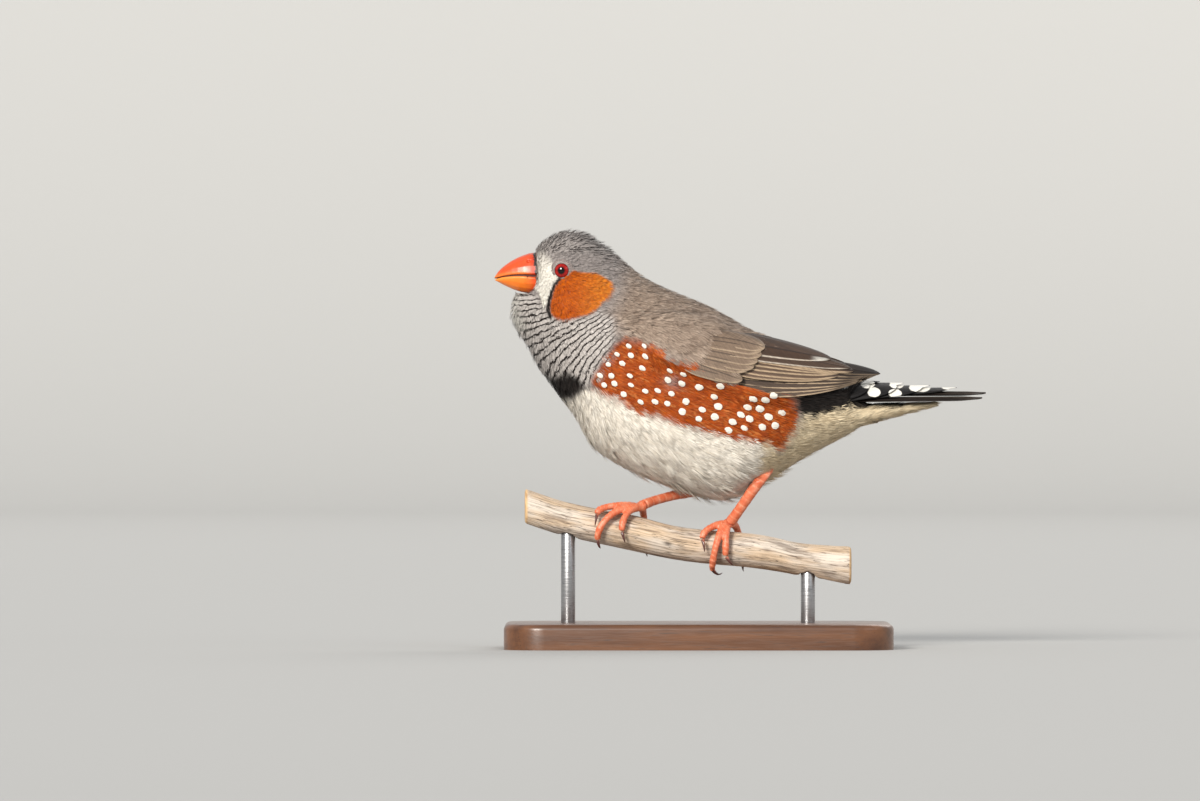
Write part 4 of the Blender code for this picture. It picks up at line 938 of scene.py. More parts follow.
def claw_material():
    """Dark horn, paler at the root."""
    made, nodes, shader = material("claw_horn", 0.35)
    streak = nodes.noise(nodes.place(), 2.2, 3.0)
    body = nodes.mix(nodes.ranged(nodes.mark("root"), 0.0, 1.0), colour(88, 52, 46), colour(196, 116, 88))
    nodes.wire(nodes.mix(nodes.ranged(streak, 0.4, 0.7, 0.0, 0.4), body, colour(54, 34, 32)), shader.inputs["Base Color"])
    shader.inputs["Coat Weight"].default_value = 0.2
    return made


def perch_material():
    """Weathered, barkless branch wood: silver and tan grain, dark cracks and knots, ringed sawn ends."""
    made, nodes, shader = material("branch_wood", 0.75)
    round_, along, knot, end = nodes.mark("round"), nodes.mark("along"), nodes.mark("knot"), nodes.mark("end")
    out = nodes.mark("out")
    grain = nodes.vector(nodes.math("MULTIPLY", round_, 2.6), nodes.math("MULTIPLY", along, 0.13), 0.0)
    long_grain = nodes.noise(grain, 1.0, 5.0, 0.65)
    patches = nodes.noise(nodes.vector(round_, nodes.math("MULTIPLY", along, 0.22), 3.0), 0.35, 3.0)
    body = nodes.mix(nodes.ranged(patches, 0.38, 0.62), colour(208, 196, 182), colour(202, 178, 150))
    body = nodes.mix(nodes.ranged(long_grain, 0.46, 0.66, 0.0, 0.70), body, colour(104, 84, 68))
    body = nodes.mix(nodes.ranged(long_grain, 0.30, 0.44, 0.45, 0.0), body, colour(212, 200, 188))
    crack = nodes.noise(nodes.vector(nodes.math("MULTIPLY", round_, 1.7), nodes.math("MULTIPLY", along, 0.09), 9.0), 1.0, 2.0)
    crack = nodes.ranged(nodes.math("ABSOLUTE", nodes.math("SUBTRACT", crack, 0.5)), 0.0, 0.018, 0.8, 0.0)
    body = nodes.mix(crack, body, colour(52, 40, 32))
    stain = nodes.noise(nodes.vector(round_, nodes.math("MULTIPLY", along, 0.26), 17.0), 0.6, 4.0)
    body = nodes.mix(nodes.ranged(stain, 0.54, 0.70, 0.0, 0.60), body, colour(96, 82, 72))
    body = nodes.mix(nodes.math("MULTIPLY", knot, 0.9), body, colour(46, 34, 28))
    ring = nodes.math("SINE", nodes.math("ADD", nodes.math("MULTIPLY", out, 11.0), nodes.math("MULTIPLY", patches, 6.0)))
    sawn = nodes.mix(nodes.ranged(ring, -1.0, 1.0, 0.0, 0.6), colour(206, 172, 128), colour(150, 112, 74))
    body = nodes.mix(end, body, sawn)
    nodes.wire(body, shader.inputs["Base Color"])
    height = nodes.math("SUBTRACT", long_grain, nodes.math("MULTIPLY", crack, 0.6))
    nodes.wire(nodes.bump(height, 0.5, 0.18), shader.inputs["Normal"])
    nodes.wire(nodes.ranged(long_grain, 0.3, 0.7, 0.62, 0.85), shader.inputs["Roughness"])
    return made


def base_material():
    """Dark oiled hardwood with fine pores along the grain."""
    made, nodes, shader = material("base_wood", 0.35)
    grain = nodes.place((60.0, 900.0, 900.0))
    rings = nodes.noise(grain, 0.25, 5.0, 0.6)
    pores = nodes.noise(nodes.place((220.0, 5200.0, 5200.0)), 1.0, 2.0)
    body = nodes.mix(nodes.ranged(rings, 0.3, 0.7), colour(72, 44, 28), colour(112, 72, 44))
    body = nodes.mix(nodes.ranged(pores, 0.60, 0.72, 0.0, 0.6), body, colour(34, 20, 14))
    nodes.wire(body, shader.inputs["Base Color"])
    nodes.wire(nodes.ranged(pores, 0.4, 0.7, 0.30, 0.48), shader.inputs["Roughness"])
    nodes.wire(nodes.bump(pores, 0.12, 0.08), shader.inputs["Normal"])
    shader.inputs["Coat Weight"].default_value = 0.25
    shader.inputs["Coat Roughness"].default_value = 0.25
    return made


def rod_material():
    """Brushed steel rod."""
    made, nodes, shader = material("rod_steel", 0.3)
    brushed = nodes.noise(nodes.place((400.0, 400.0, 9000.0)), 1.0, 2.0)
    nodes.wire(nodes.mix(brushed, colour(150, 150, 152), colour(196, 196, 198)), shader.inputs["Base Color"])
    nodes.wire(nodes.ranged(brushed, 0.3, 0.7, 0.26, 0.42), shader.inputs["Roughness"])
    nodes.wire(nodes.bump(brushed, 0.08, 0.03), shader.inputs["Normal"])
    shader.inputs["Metallic"].default_value = 1.0
    return made


# Pieces

def make_skin(finish):
    """One skin for head, neck and torso, sunk under their surface by the depth of the coat."""
    bm = fused(("head", "neck", "torso"), 0.55, 0.25, 5, under_core=True)
    end_at(bm, UNDER_SKIN_END)
    points = np.array([vert.co for vert in bm.verts]) / MM
    from_eye = np.hypot(points[:, 0] - EYE[0], points[:, 2] - EYE[1])
    depth = tracts(points)[0][:, 5] * (0.25 + 0.60 * blend(LID, LID + 1.5, from_eye))
    bm.normal_update()
    for vert, sink in zip(bm.verts, depth.tolist()):
        vert.co -= vert.normal * sink * MM
    mesh = to_mesh("skin", bm)
    skin = link("skin", mesh, finish)
    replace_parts(skin, "head", "neck", "torso", "tail_coverts_under")
    where = coordinates(mesh)
    paint(mesh, **markings(where), tuft=np.full(len(where), 0.6), strand=np.full(len(where), 0.6))
    skin_unwrap(skin)
    return skin


def make_envelope():
    """The surface that the coat's tips reach, smoothed where the flank runs on to the wing's lower edge."""
    bm = fused(("head", "neck", "torso", "wing_left", "wing_right"), 0.55, 1.3, 12, under_core=True)
    points = np.array([vert.co for vert in bm.verts]) / MM
    near = line_distance(WING_LOW_EDGE, points[:, 0], points[:, 2]) < 3.0
    near &= np.abs(points[:, 1]) > 7
    ledge = [vert for vert, soft in zip(bm.verts, near.tolist()) if soft]
    for _ in range(50):
        bmesh.ops.smooth_vert(bm, verts=ledge, factor=0.5, use_axis_x=True, use_axis_y=True, use_axis_z=True)
    return to_mesh("envelope", bm)


def make_coat(envelope, skin, finishes, rng):
    """Lays the small feathers over the bird, tract by tract."""
    ground, under = Ground(envelope), Ground(skin.data)
    roots, tract = scatter(envelope, rng, 90000)
    x, y, z = roots[:, 0], np.abs(roots[:, 1]), roots[:, 2]
    bare = (np.hypot(x - EYE[0] + 0.35, z - EYE[1]) < LID - 0.10) & (y > 2)
    bare |= (within(NO_COAT, x, z, 0.1) > 0.5) & (y > 1.8)
    bare |= ((x > 21) & (z > 48.6)) | (x > LAST_ROOT)
    bare |= (x < -40.9) & (z > 70.6) & (y < 3.4)
    flanks = [TRACT_NAMES.index(member) for member in COATS["coat_flanks"]]
    bare |= np.isin(tract, flanks) & (z > np.interp(x, *np.transpose(FLANK_TOP)))
    roots, tract = roots[~bare], tract[~bare]
    for name, members in COATS.items():
        mine = np.isin(tract, [TRACT_NAMES.index(member) for member in members])
        here = roots[mine]
        sizes = tracts(here)[0]
        room = LAST_TIP - here[:, 0]
        for column, least, gain in ((2, 0.0, 1.0), (3, 0.35, 0.20), (5, 0.25, 0.12)):
            sizes[:, column] = np.minimum(sizes[:, column], least + gain * room)
        mesh, faces, local, owner = feathers(
            name, ground, here, sizes, rng, COAT_BARBS[name], COAT_FOLLOW.get(name, 0.35),
            COAT_WISPS.get(name, 1.0),
        )
        bake_map(mesh, faces, local, owner, place_on_unwrap(skin, under, here))
        link(name, mesh, finishes[name])
        print(name, len(here), "feathers", len(mesh.polygons), "faces")
    make_spots(ground, under, skin, finishes["coat_flanks"], rng)


def make_spots(ground, under, skin, finish, rng):
    """White oval spots on the flanks, each the tip of a feather, over the chestnut ones."""
    turns = np.linspace(0, math.tau, SPOT_SIDES, endpoint=False)
    rings = np.array([0.0] + [0.6] * SPOT_SIDES + [1.0] * SPOT_SIDES)
    angles = np.concatenate(((0.0,), turns, turns))
    ring = np.arange(SPOT_SIDES)
    after = (ring + 1) % SPOT_SIDES
    faces = np.concatenate((
        np.stack((0 * ring, ring + 1, after + 1), 1),
        np.stack((ring + 1, ring + 1 + SPOT_SIDES, after + 1 + SPOT_SIDES), 1),
        np.stack((ring + 1, after + 1 + SPOT_SIDES, after + 1), 1),
    ))
    centres, halves = [], []
    for side in (-1, 1):
        for x, z in SPOTS:
            shift = rng.normal(0, 0.15, 2) if side > 0 else (0.0, 0.0)
            at = Vector((x + shift[0], side * 40, z + shift[1])) * MM
            centres.append(np.array(ground.tree.ray_cast(at, Vector((0, -side, 0)))[0]) / MM)
            grow = float(blend(-28, 8, np.array(x)))
            halves.append((SPOT_SIZE[0] + (SPOT_SIZE[1] - SPOT_SIZE[0]) * grow) * rng.uniform(0.9, 1.1))
    centres = np.array(centres)
    places, normals, _ = ground.nearest(centres)
    lie = lie_along(places, normals, tracts(centres)[0])
    across = np.cross(normals, lie)
    count, each = len(centres), len(rings)
    jag = 1 + rng.normal(0, 0.05, (count, each)) * (rings > 0.9)
    half = np.array(halves)[:, None] * rings * jag
    slim = rng.uniform(0.58, 0.90, (count, 1))
    flat = places[:, None] + lie[:, None] * (half * np.cos(angles))[..., None]
    flat += across[:, None] * (half * np.sin(angles) * slim)[..., None]
    base, up, _ = ground.nearest(flat.reshape(-1, 3))
    points = base + up * np.tile(SPOT_LIFT - 0.16 * rings**2, count)[:, None]
    faces = (faces[None] + (np.arange(count) * each)[:, None, None]).reshape(-1, 3)
    mesh = bpy.data.meshes.new("flank_spots")
    mesh.from_pydata((points * MM).tolist(), [], faces.tolist())
    mesh.shade_smooth()
    zero, one = np.zeros(len(points)), np.ones(len(points))
    paint(
        mesh, white=one, orange=zero, black=zero, chestnut=zero, belly=zero, cream=zero, barred=zero, brown=zero,
        crown=zero, bars=zero, front=zero, along=np.tile(rings * np.cos(angles) * 0.5 + 0.5, count),
        across=np.tile(rings * np.sin(angles), count), tuft=np.repeat(rng.random(count), each),
        strand=rng.random(len(points)),
    )
    local = np.tile(np.stack((rings * np.sin(angles) * 0.5, rings * np.cos(angles) * 0.5 + 0.5), 1), (count, 1))
    bake_map(mesh, faces, local, np.repeat(np.arange(count), each), place_on_unwrap(skin, under, centres))
    link("flank_spots", mesh, finish)


def wing_side(node, side):
    """A smooth surface through the outer side of a wing: |y| in millimetres for any x and z."""
    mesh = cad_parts[node].data
    tree = Ground(mesh).tree
    rows = []
    for x in np.arange(-10, 28, 1.5):
        for z in np.arange(48.5, 66, 1.5):
            hit = tree.ray_cast(Vector((x, side * 40, z)) * MM, Vector((0, -side, 0)))[0]
            if hit:
                rows.append((x, z, abs(hit.y) / MM))
    rows = np.array(rows)

    def terms(x, z):
        u, v = (x - 8) / 19, (z - 56) / 8
        return np.stack([u**i * v**j for i in range(5) for j in range(4) if i + j <= 4], -1)

    weights = np.linalg.lstsq(terms(rows[:, 0], rows[:, 1]), rows[:, 2], rcond=None)[0]
    return lambda x, z: float(terms(x, z) @ weights)


def vane_layers(bm):
    """The values that a feather's vertices carry for its material."""
    return [bm.verts.layers.float.new(name) for name in ("along", "across", "tuft", "strand")]


def quill(bm, half_width, out_at, lot, steps=16, lanes=10, blunt=0.5):
    """Adds one vane to a bmesh. out_at(share, lane, width) places its points, in millimetres."""
    along, across, tuft, strand = (bm.verts.layers.float[name] for name in ("along", "across", "tuft", "strand"))
    for vert in bmesh.ops.create_grid(bm, x_segments=lanes, y_segments=steps, size=0.5)["verts"]:
        lane = vert.co.x * 2
        share = 1 - (0.5 - vert.co.y) ** 1.5
        lane = math.copysign(abs(lane) ** 1.25, lane)
        taper = (1 - share ** (3 + 7 * blunt)) ** 0.6 * min(1.0, 0.42 + 1.5 * share**0.8)
        vert[along], vert[across], vert[tuft], vert[strand] = share, lane, lot, 0.5
        vert.co = out_at(share, lane, half_width * max(taper, 0.02)) * MM


def make_wing_bed(side, label, finish):
    """The fleshy arm under the wing's feathers, ended where only the long feathers go on."""
    bm = fused((f"wing_{label}",), 0.5, 0.0, 6)
    bmesh.ops.translate(bm, verts=bm.verts, vec=(0, -side * WING_BED_SINK * MM, 0))
    end_at(bm, WING_BED_END)
    mesh = to_mesh(f"wing_bed_{label}", bm)
    where = coordinates(mesh)
    paint(mesh, **markings(where), tuft=np.full(len(where), 0.6), strand=np.full(len(where), 0.6))
    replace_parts(link(f"wing_bed_{label}", mesh, finish), f"wing_{label}")


def make_wing_feathers(side, label, finishes, rng):
    """The long feathers of one folded wing, tier over tier, the lowest feather of each tier lying deepest."""
    surface = wing_side(f"wing_{label}", side)
    for tier, (count, root0, root1, tip0, tip1, half0, half1, bow0, bow1, sink0, sink1, blunt) in WING_TIERS.items():
        bm = bmesh.new()
        vane_layers(bm)
        for index in range(count):
            part = index / (count - 1)
            root = np.array(root0) * (1 - part) + np.array(root1) * part + rng.normal(0, 0.10, 2)
            tip = np.array(tip0) * (1 - part) + np.array(tip1) * part + rng.normal(0, TIER_JITTER[tier], 2)
            half, bow = half0 + (half1 - half0) * part, bow0 + (bow1 - bow0) * part
            run = tip - root
            normal = np.array((-run[1], run[0])) / np.hypot(*run)

            def out_at(share, lane, width):
                middle = root + run * share + normal * bow * math.sin(math.pi * share)
                x, z = middle - normal * lane * width
                sink = sink0 + (sink1 - sink0) * min(1.0, share * 1.6) ** 0.7
                under = 0.05 * index - 0.12 * lane
                camber = 0.10 * (1 - lane * lane) + (0.07 if abs(lane) < 0.09 else 0.0)
                return Vector((x, side * (surface(x, z) - sink + camber - under), z))

            lot = (index + rng.random()) / count
            quill(bm, half * rng.uniform(0.95, 1.05), out_at, lot, blunt=blunt)
        piece = link(f"{tier}_{label}", to_mesh(f"{tier}_{label}", bm), finishes[tier])
        face_out(piece.data, (0, side, 0))
        thicken(piece, 0.10)


def face_out(mesh, direction):
    """Turns an open sheet's faces towards a direction."""
    total = sum((face.normal * face.area for face in mesh.polygons), Vector())
    if total.dot(Vector(direction)) < 0:
        mesh.flip_normals()


def thicken(piece, thickness):
    solid = piece.modifiers.new("thickness", "SOLIDIFY")
    solid.thickness = thickness * MM
    solid.offset = -1.0


def make_tail(finish, rng):
    """Twelve tail feathers, stacked with the middle pair on top."""
    bm = bmesh.new()
    vane_layers(bm)
    for pair in range(TAIL_PAIRS):
        for side in (-1, 1):
            part = (pair + 0.25) / TAIL_PAIRS
            root_y, tip_y = side * TAIL_ROOT_SPREAD * part, side * TAIL_TIP_SPREAD * part
            drop = TAIL_DROP[pair] + (0.09 if side > 0 else 0.0)

            def out_at(share, lane, width):
                x = TAIL_ROOT_X + (TAIL_TIP_X - 0.25 * pair - TAIL_ROOT_X) * share
                y = root_y + (tip_y - root_y) * share + lane * width
                top = TAIL_TOP[0] + (TAIL_TOP[1] - TAIL_TOP[0]) * share
                pinch = 0.75 * float(blend(0.84, 1.0, share))
                fallen = drop * (1 - pinch) + TAIL_DROP[1 if pair < 3 else 4] * pinch
                camber = 0.08 * (1 - lane * lane) + (0.06 if abs(lane) < 0.09 else 0.0)
                return Vector((x, y, top - fallen * (1.12 - 0.17 * share) + camber - 0.10 * lane * side))

            quill(bm, TAIL_HALF_WIDTH, out_at, rng.random(), blunt=0.4)
    piece = link("tail_feathers", to_mesh("tail_feathers", bm), finish)
    face_out(piece.data, (0, 0, 1))
    thicken(piece, 0.10)
    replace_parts(piece, "tail")


# Long coverts of the tail in rows: root x, tip x, count, half spread, root z, tip z, half width
UPPER_COVERTS = (
    (9.0, 22.4, 3, 4.4, 55.2, 52.6, 3.2), (12.5, 27.4, 3, 3.8, 53.6, 52.3, 3.0), (16.0, 32.6, 3, 3.2, 52.6, 52.0, 2.8),
    (20.0, 37.6, 3, 2.5, 51.9, 51.5, 2.5), (24.0, 42.8, 3, 1.6, 51.4, 51.1, 2.1),
)


def make_tail_coverts(name, rows, rise, node, finish, rng):
    """Tiers of long coverts over the tail's root, curving up to a ridge, or under it, down to a keel."""
    bm = bmesh.new()
    vane_layers(bm)
    for root_x, tip_x, count, spread, root_z, tip_z, half in rows:
        for index in range(count):
            at = (index / (count - 1) - 0.5) * 2
            root_y, tip_y = at * spread * 1.05, at * spread * 0.82
            reach = tip_x - 1.6 * abs(at) + rng.normal(0, 0.2)

            def out_at(share, lane, width):
                x = root_x + (reach - root_x) * share
                y = root_y + (tip_y - root_y) * share + lane * width * math.cos(at * 0.54)
                fall = 0.14 * y * y * (1 - 0.35 * share)
                z = root_z + (tip_z - root_z) * share
                return Vector((x, y, z + rise * (0.05 * (1 - lane * lane) - fall - 0.45 * (1 - share))))

            quill(bm, half, out_at, rng.random(), steps=10, lanes=8, blunt=0.8)
    piece = link(name, to_mesh(name, bm), finish)
    face_out(piece.data, (0, 0, rise))
    thicken(piece, 0.06)
    if node:
        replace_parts(piece, node)


def make_eyes(eye_finish, lid_finish):
    """Each eye: a ball whose pole looks out, and a ring of beaded bare skin round it."""
    for side, label in ((-1, "left"), (1, "right")):
        low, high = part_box(f"eye_{label}")
        centre = (low + high) / 2 / MM
        look = Vector((-0.16, side, 0.0)).normalized()
        turn = look.to_track_quat("Z", "Y").to_matrix().to_4x4()
        face = centre.y + side * (high.y - low.y) / 2 / MM
        middle = Vector((centre.x, face - side * EYE_BALL, centre.z))

        bm = bmesh.new()
        bmesh.ops.create_uvsphere(bm, u_segments=48, v_segments=36, radius=EYE_BALL)
        mesh = to_mesh(f"eyeball_{label}", bm)
        where = coordinates(mesh) * MM
        angle = np.arctan2(where[:, 1], where[:, 0]) / math.pi
        out = np.where(where[:, 2] > 0, np.hypot(where[:, 0], where[:, 1]), EYE_BALL)
        paint(mesh, out=out, spoke=np.abs(angle))
        mesh.transform(Matrix.Scale(MM, 4) @ Matrix.Translation(middle) @ turn)
        ball = link(f"eyeball_{label}", mesh, eye_finish)
        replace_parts(ball, f"eye_{label}")

        bm = bmesh.new()
        rim = EYE_BALL * math.cos(math.asin(LID / EYE_BALL))
        ring = bmesh.ops.create_circle(bm, segments=10, radius=LID_THICK)["verts"]
        for vert in ring:
            vert.co.y *= 0.75
            if vert.co.x > 0.01:
                vert.co.x *= LID_SPREAD
                vert.co.y -= 0.45 * vert.co.x
        turned = Matrix.Translation((LID, 0, rim)) @ Matrix.Rotation(math.pi / 2, 4, "X")
        bmesh.ops.transform(bm, matrix=turned, verts=ring)
        bmesh.ops.spin(
            bm, geom=ring + bm.edges[:], cent=(0, 0, 0), axis=(0, 0, 1), angle=math.tau, steps=72, use_merge=True
        )
        bmesh.ops.remove_doubles(bm, verts=bm.verts, dist=1e-4)
        bmesh.ops.recalc_face_normals(bm, faces=bm.faces)
        bm.normal_update()
        for vert in bm.verts:
            turn_round = math.atan2(vert.co.y, vert.co.x)
            vert.co += vert.normal * 0.03 * math.cos(turn_round * 24)
        mesh = to_mesh(f"eyelid_{label}", bm)
        mesh.transform(Matrix.Scale(MM, 4) @ Matrix.Translation(middle) @ turn)
        link(f"eyelid_{label}", mesh, lid_finish)


def draw_back(bm):
    """Draws the root of a bill piece back under the face's feathers. Returns where its points were."""
    points = np.array([vert.co for vert in bm.verts]) / MM
    behind = points[:, 0] - np.interp(points[:, 2], BILL_BASE_Z, BILL_BASE_X)
    for vert, shift in zip(bm.verts, (0.9 * blend(-0.9, -0.1, behind)).tolist()):
        vert.co.x += shift * MM
    return points, behind


def make_bill(upper_finish, lower_finish, gape_shade_finish):
    """The two halves of the bill, smoothed from the solids, nearly closed and rooted in the face."""
    for node, finish, slot in (("bill_upper", upper_finish, "bill_red"), ("bill_lower", lower_finish, "bill_orange")):
        bm = fused((node,), 0.12, 0.0, 2)
        push(bm, 0.09 * MM)
        points, behind = draw_back(bm)
        mesh = to_mesh(f"{node}_horn", bm)
        mouth = np.interp(points[:, 0], (-48, -46, -44, -42, -40), (72.5, 72.9, 73.1, 73.2, 72.9))
        away = np.abs(points[:, 2] - mouth)
        paint(mesh, edge=1 - blend(0.0, 1.3, away), base=behind, mouth=1 - blend(0.06, 0.16, away))
        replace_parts(link(f"{node}_horn", mesh, finish), node)
    # A core inside both halves, seen through the slit between them as painted shade of the mouth line.
    core = fused(("bill_upper", "bill_lower"), 0.2, 0.3, 2)
    push(core, -0.28 * MM)
    draw_back(core)
    link("bill_gape_shade", to_mesh("bill_gape_shade", core), gape_shade_finish)


def scuted(node, name, finish, origin, towards, step, height, voxel=0.17):
    """Leg or foot skin with raised, overlapping scutes across it, counted by distance from a point."""
    bm = fused((node,), voxel, 0.0, 3)
    bm.normal_update()
    grooves = []
    for vert in bm.verts:
        away = vert.co / MM - origin
        reach = away.dot(towards) if towards else away.length
        phase = (reach / step) % 1.0
        rise = height * (1 - phase) if phase > 0.14 else height * phase / 0.14
        grooves.append(1.0 if phase > 0.90 or phase < 0.06 else 0.0)
        vert.co += vert.normal * (rise - height * 0.4) * MM
        tuck = LEG_TUCK * float(blend(*LEG_TUCK_Z, vert.co.z / MM))
        vert.co.y -= math.copysign(tuck * MM, vert.co.y)
    mesh = to_mesh(name, bm)
    paint(mesh, groove=grooves)
    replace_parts(link(name, mesh, finish), node)


def make_legs(skin_finish, claw_finish):
    """Legs, feet and claws."""
    for label in ("left", "right"):
        low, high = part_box(f"leg_{label}")
        points = coordinates(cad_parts[f"leg_{label}"].data)
        top = Vector(points[points[:, 2] > high.z / MM - 1.5].mean(0))
        foot = Vector(points[points[:, 2] < low.z / MM + 1.5].mean(0))
        along = (foot - top).normalized()
        scuted(f"leg_{label}", f"shank_{label}", skin_finish, top, along, 1.6, 0.045)
        scuted(f"foot_{label}", f"toes_{label}", skin_finish, foot, None, 0.80, 0.09)
        for toe in ("inner", "middle", "outer", "hind"):
            node = f"claw_{label}_{toe}"
            bm = fused((node,), 0.10, 0.0, 2)
            mesh = to_mesh(f"{node}_horn", bm)
            where = coordinates(mesh)
            away = np.linalg.norm(where - np.array(foot), axis=1)
            paint(mesh, root=1 - blend(0.0, 0.6, (away - away.min()) / (away.max() - away.min())))
            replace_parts(link(f"{node}_horn", mesh, claw_finish), node)


KNOTS = ((-13.9, 100, 1.0), (5.5, 80, 0.6), (17.0, -60, 0.8), (-28.0, -40, 0.7))


def make_perch(finish, rng):
    """The cut branch, with raised grain, knots and cracks."""
    bm = fused(("perch",), 0.38, 0.0, 2)
    mesh = to_mesh("branch", bm)
    where = coordinates(mesh)
    low, high = where[:, 0].min(), where[:, 0].max()
    steps = np.linspace(low, high, 24)
    middle_z = np.array([where[np.abs(where[:, 0] - x) < 2.2][:, 2].mean() for x in steps])
    middle_y = np.array([where[np.abs(where[:, 0] - x) < 2.2][:, 1].mean() for x in steps])
    dz = where[:, 2] - np.interp(where[:, 0], steps, middle_z)
    dy = where[:, 1] - np.interp(where[:, 0], steps, middle_y)
    angle = np.arctan2(-dy, dz)
    out = np.hypot(dy, dz)
    end = (np.minimum(where[:, 0] - low, high - where[:, 0]) < 0.45).astype(float)
    grain = 0.5 * np.sin(angle * 9 + 0.10 * where[:, 0] + 1.3 * np.sin(0.21 * where[:, 0]))
    grain += 0.5 * np.sin(angle * 17 - 0.14 * where[:, 0] + 2.0 * np.sin(0.13 * where[:, 0] + 1))
    knot = np.zeros(len(where))
    for x, turn, size in KNOTS:
        off = np.hypot((where[:, 0] - x) / 1.9, ((angle - math.radians(turn) + math.pi) % math.tau - math.pi) * 3.4)
        knot += size * np.exp(-((off / 0.42) ** 2))
    normals = np.empty(len(where) * 3)
    mesh.vertices.foreach_get("normal", normals)
    lift = (0.06 * grain - 0.30 * knot) * (1 - end)
    moved = (where + normals.reshape(-1, 3) * lift[:, None]) * MM
    mesh.vertices.foreach_set("co", moved.reshape(-1))
    paint(mesh, round=np.abs(angle) * 3.4 + 2 * np.sign(angle) * 0, along=where[:, 0], out=out, end=end, knot=np.clip(knot, 0, 1))
    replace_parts(link("branch", mesh, finish), "perch")


def make_stand(wood, steel):
    """The base plate with an eased edge, and its two rods."""
    low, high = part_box("stand_base")
    size, middle = high - low, (low + high) / 2
    bm = bmesh.new()
    bmesh.ops.create_cube(bm, size=1.0, matrix=Matrix.Translation(middle) @ Matrix.Diagonal((*size, 1)))
    upright = [edge for edge in bm.edges if abs(edge.verts[0].co.z - edge.verts[1].co.z) > size.z / 2]
    bmesh.ops.bevel(
        bm, geom=upright, offset=8 * MM, offset_type="OFFSET", affect="EDGES", segments=12, profile=0.5, material=-1
    )
    rims = [edge for edge in bm.edges if len({round(v.co.z, 6) for v in edge.verts}) == 1 and len(edge.link_faces) == 2
            and any(abs(face.normal.z) > 0.9 for face in edge.link_faces)
            and any(abs(face.normal.z) < 0.1 for face in edge.link_faces)]
    top = [edge for edge in rims if edge.verts[0].co.z > middle.z]
    bmesh.ops.bevel(
        bm, geom=top, offset=1.1 * MM, offset_type="OFFSET", affect="EDGES", segments=5, profile=0.5, material=-1
    )
    mesh = to_mesh("base_plate", bm, smooth=False)
    mesh.shade_smooth()
    mesh.set_sharp_from_angle(angle=math.radians(30))
    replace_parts(link("base_plate", mesh, wood), "stand_base")
    for node in ("stand_rod_front", "stand_rod_rear"):
        low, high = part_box(node)
        middle, size = (low + high) / 2, high - low
        bm = bmesh.new()
        bmesh.ops.create_cone(
            bm, cap_ends=True, segments=48, radius1=size.x / 2, radius2=size.x / 2, depth=size.z,
            matrix=Matrix.Translation(middle),
        )
        rims = [edge for edge in bm.edges if edge.verts[0].co.z == edge.verts[1].co.z]
        bmesh.ops.bevel(
            bm, geom=rims, offset=0.15 * MM, offset_type="OFFSET", affect="EDGES", segments=2, profile=0.5, material=-1
        )
        mesh = to_mesh(f"{node}_bar", bm)
        mesh.set_sharp_from_angle(angle=math.radians(40))
        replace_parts(link(f"{node}_bar", mesh, steel), node)


def make_stage():
    """A pale floor that curves up into a wall all round, soft lights and the camera."""
    bm = bmesh.new()
    profile = [(0.0, 0.0), (3.0, 0.0)]
    profile += [(3.0 + 0.8 * math.sin(a), 0.8 - 0.8 * math.cos(a)) for a in np.linspace(0.1, math.pi / 2, 16)]
    verts = [bm.verts.new((x, 0, z)) for x, z in profile]
    edges = [bm.edges.new(pair) for pair in zip(verts, verts[1:])]
    bmesh.ops.spin(bm, geom=verts + edges, cent=(0, 0, 0), axis=(0, 0, 1), angle=math.tau, steps=96, use_merge=True)
    bmesh.ops.remove_doubles(bm, verts=bm.verts, dist=1e-5)
    bmesh.ops.recalc_face_normals(bm, faces=bm.faces)
    mesh = to_mesh("floor", bm)
    made, nodes, shader = material("pale_floor", 0.9)
    shader.inputs["Base Color"].default_value = (0.41, 0.41, 0.40, 1.0)
    mesh.materials.append(made)
    floor = bpy.data.objects.new("floor", mesh)
    bpy.context.scene.collection.objects.link(floor)

    world = bpy.data.worlds.new("studio")
    world.use_nodes = True
    world.node_tree.nodes["Background"].inputs["Color"].default_value = (0.97, 0.98, 1.0, 1.0)
    world.node_tree.nodes["Background"].inputs["Strength"].default_value = 0.66
    bpy.context.scene.world = world
    lamps = (
        ("key", (-0.42, -1.0, 0.44), 4.0, 16, (1.0, 0.955, 0.89)),
        ("fill", (1.1, -0.8, 0.5), 0.45, 40, (0.95, 0.97, 1.0)),
        ("rim", (0.5, 1.0, 0.9), 0.9, 40, (1.0, 0.97, 0.92)),
    )
    for name, towards, strength, spread, tint in lamps:
        lamp = bpy.data.lights.new(name, "SUN")
        lamp.energy, lamp.angle, lamp.color = strength, math.radians(spread), tint
        holder = bpy.data.objects.new(name, lamp)
        holder.rotation_euler = (-Vector(towards)).to_track_quat("-Z", "Y").to_euler()
        bpy.context.scene.collection.objects.link(holder)

    camera = bpy.data.cameras.new("camera")
    camera.sensor_width = SENSOR
    camera.lens = SENSOR * VIEW_DISTANCE / VIEW_WIDTH
    camera.clip_end = 20.0
    holder = bpy.data.objects.new("camera", camera)
    holder.location = Vector((VIEW_CENTRE[0], -VIEW_DISTANCE, VIEW_CENTRE[1])) * MM
    holder.rotation_euler = (math.pi / 2, 0, 0)
    bpy.context.scene.collection.objects.link(holder)
    bpy.context.scene.camera = holder
    bpy.context.scene.view_settings.view_transform = "Standard"


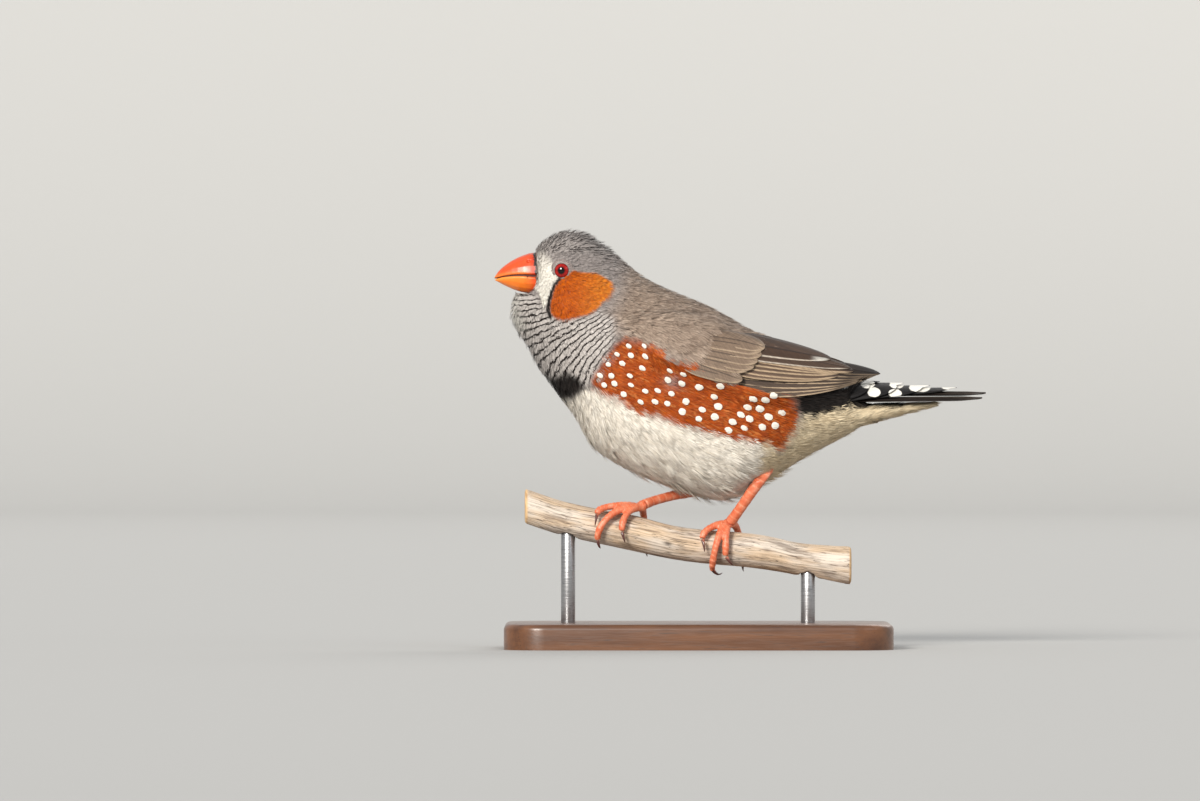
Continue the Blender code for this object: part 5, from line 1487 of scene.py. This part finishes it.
def main():
    rng = np.random.default_rng(SEED)
    barbs, plumage = barb_group(), plumage_group()
    fine = plumage_material("plumage_fine", barbs, plumage, 5.0, 0.35)
    silky = plumage_material("plumage_silky", barbs, plumage, 8.0, 0.28)
    skin_finish = skin_material(plumage)
    finishes = {name: fine for name in COATS}
    for name in ("coat_belly", "coat_vent", "coat_flanks", "coat_coverts", "coat_mantle"):
        finishes[name] = silky
    finishes["primaries"] = quill_material(
        "primary_feathers", barbs, colour(74, 60, 50), colour(206, 180, 150), colour(24, 20, 19), 0.28, 0.45, 0.5,
        edge_end=0.72,
    )
    finishes["secondaries"] = quill_material(
        "secondary_feathers", barbs, colour(92, 72, 57), colour(200, 174, 144), colour(56, 44, 38), 0.30, 0.8, 0.5
    )
    finishes["tertials"] = quill_material(
        "tertial_feathers", barbs, colour(60, 40, 28), colour(214, 200, 184), colour(50, 36, 28), 0.20, 0.9, 0.3,
        spotted=True,
    )
    finishes["greater_coverts"] = quill_material(
        "covert_feathers", barbs, colour(132, 112, 95), colour(180, 158, 134), colour(166, 144, 122), 0.24, 0.80, 0.25
    )
    finishes["tail"] = quill_material(
        "tail_feathers", barbs, colour(24, 20, 20), colour(96, 82, 72), colour(34, 26, 22), 0.10, 0.8, 0.2
    )

    skin = make_skin(skin_finish)
    envelope = make_envelope()
    make_coat(envelope, skin, finishes, rng)
    bpy.data.meshes.remove(envelope)
    for side, label in ((-1, "left"), (1, "right")):
        make_wing_bed(side, label, skin_finish)
        make_wing_feathers(side, label, finishes, rng)
    make_tail(finishes["tail"], rng)
    make_tail_coverts(
        "upper_tail_coverts", UPPER_COVERTS, 1, "tail_coverts_upper", barred_material(barbs), rng
    )
    make_eyes(eye_material(), lid_material())
    make_bill(
        bill_material("bill_upper_horn", colour(204, 70, 10), colour(224, 118, 44), colour(190, 50, 8)),
        bill_material("bill_lower_horn", colour(232, 118, 22), colour(238, 142, 54), colour(216, 78, 20)),
        gape_shade_material(),
    )
    make_legs(leg_material(), claw_material())
    make_perch(perch_material(), rng)
    make_stand(base_material(), rod_material())
    make_stage()


main()
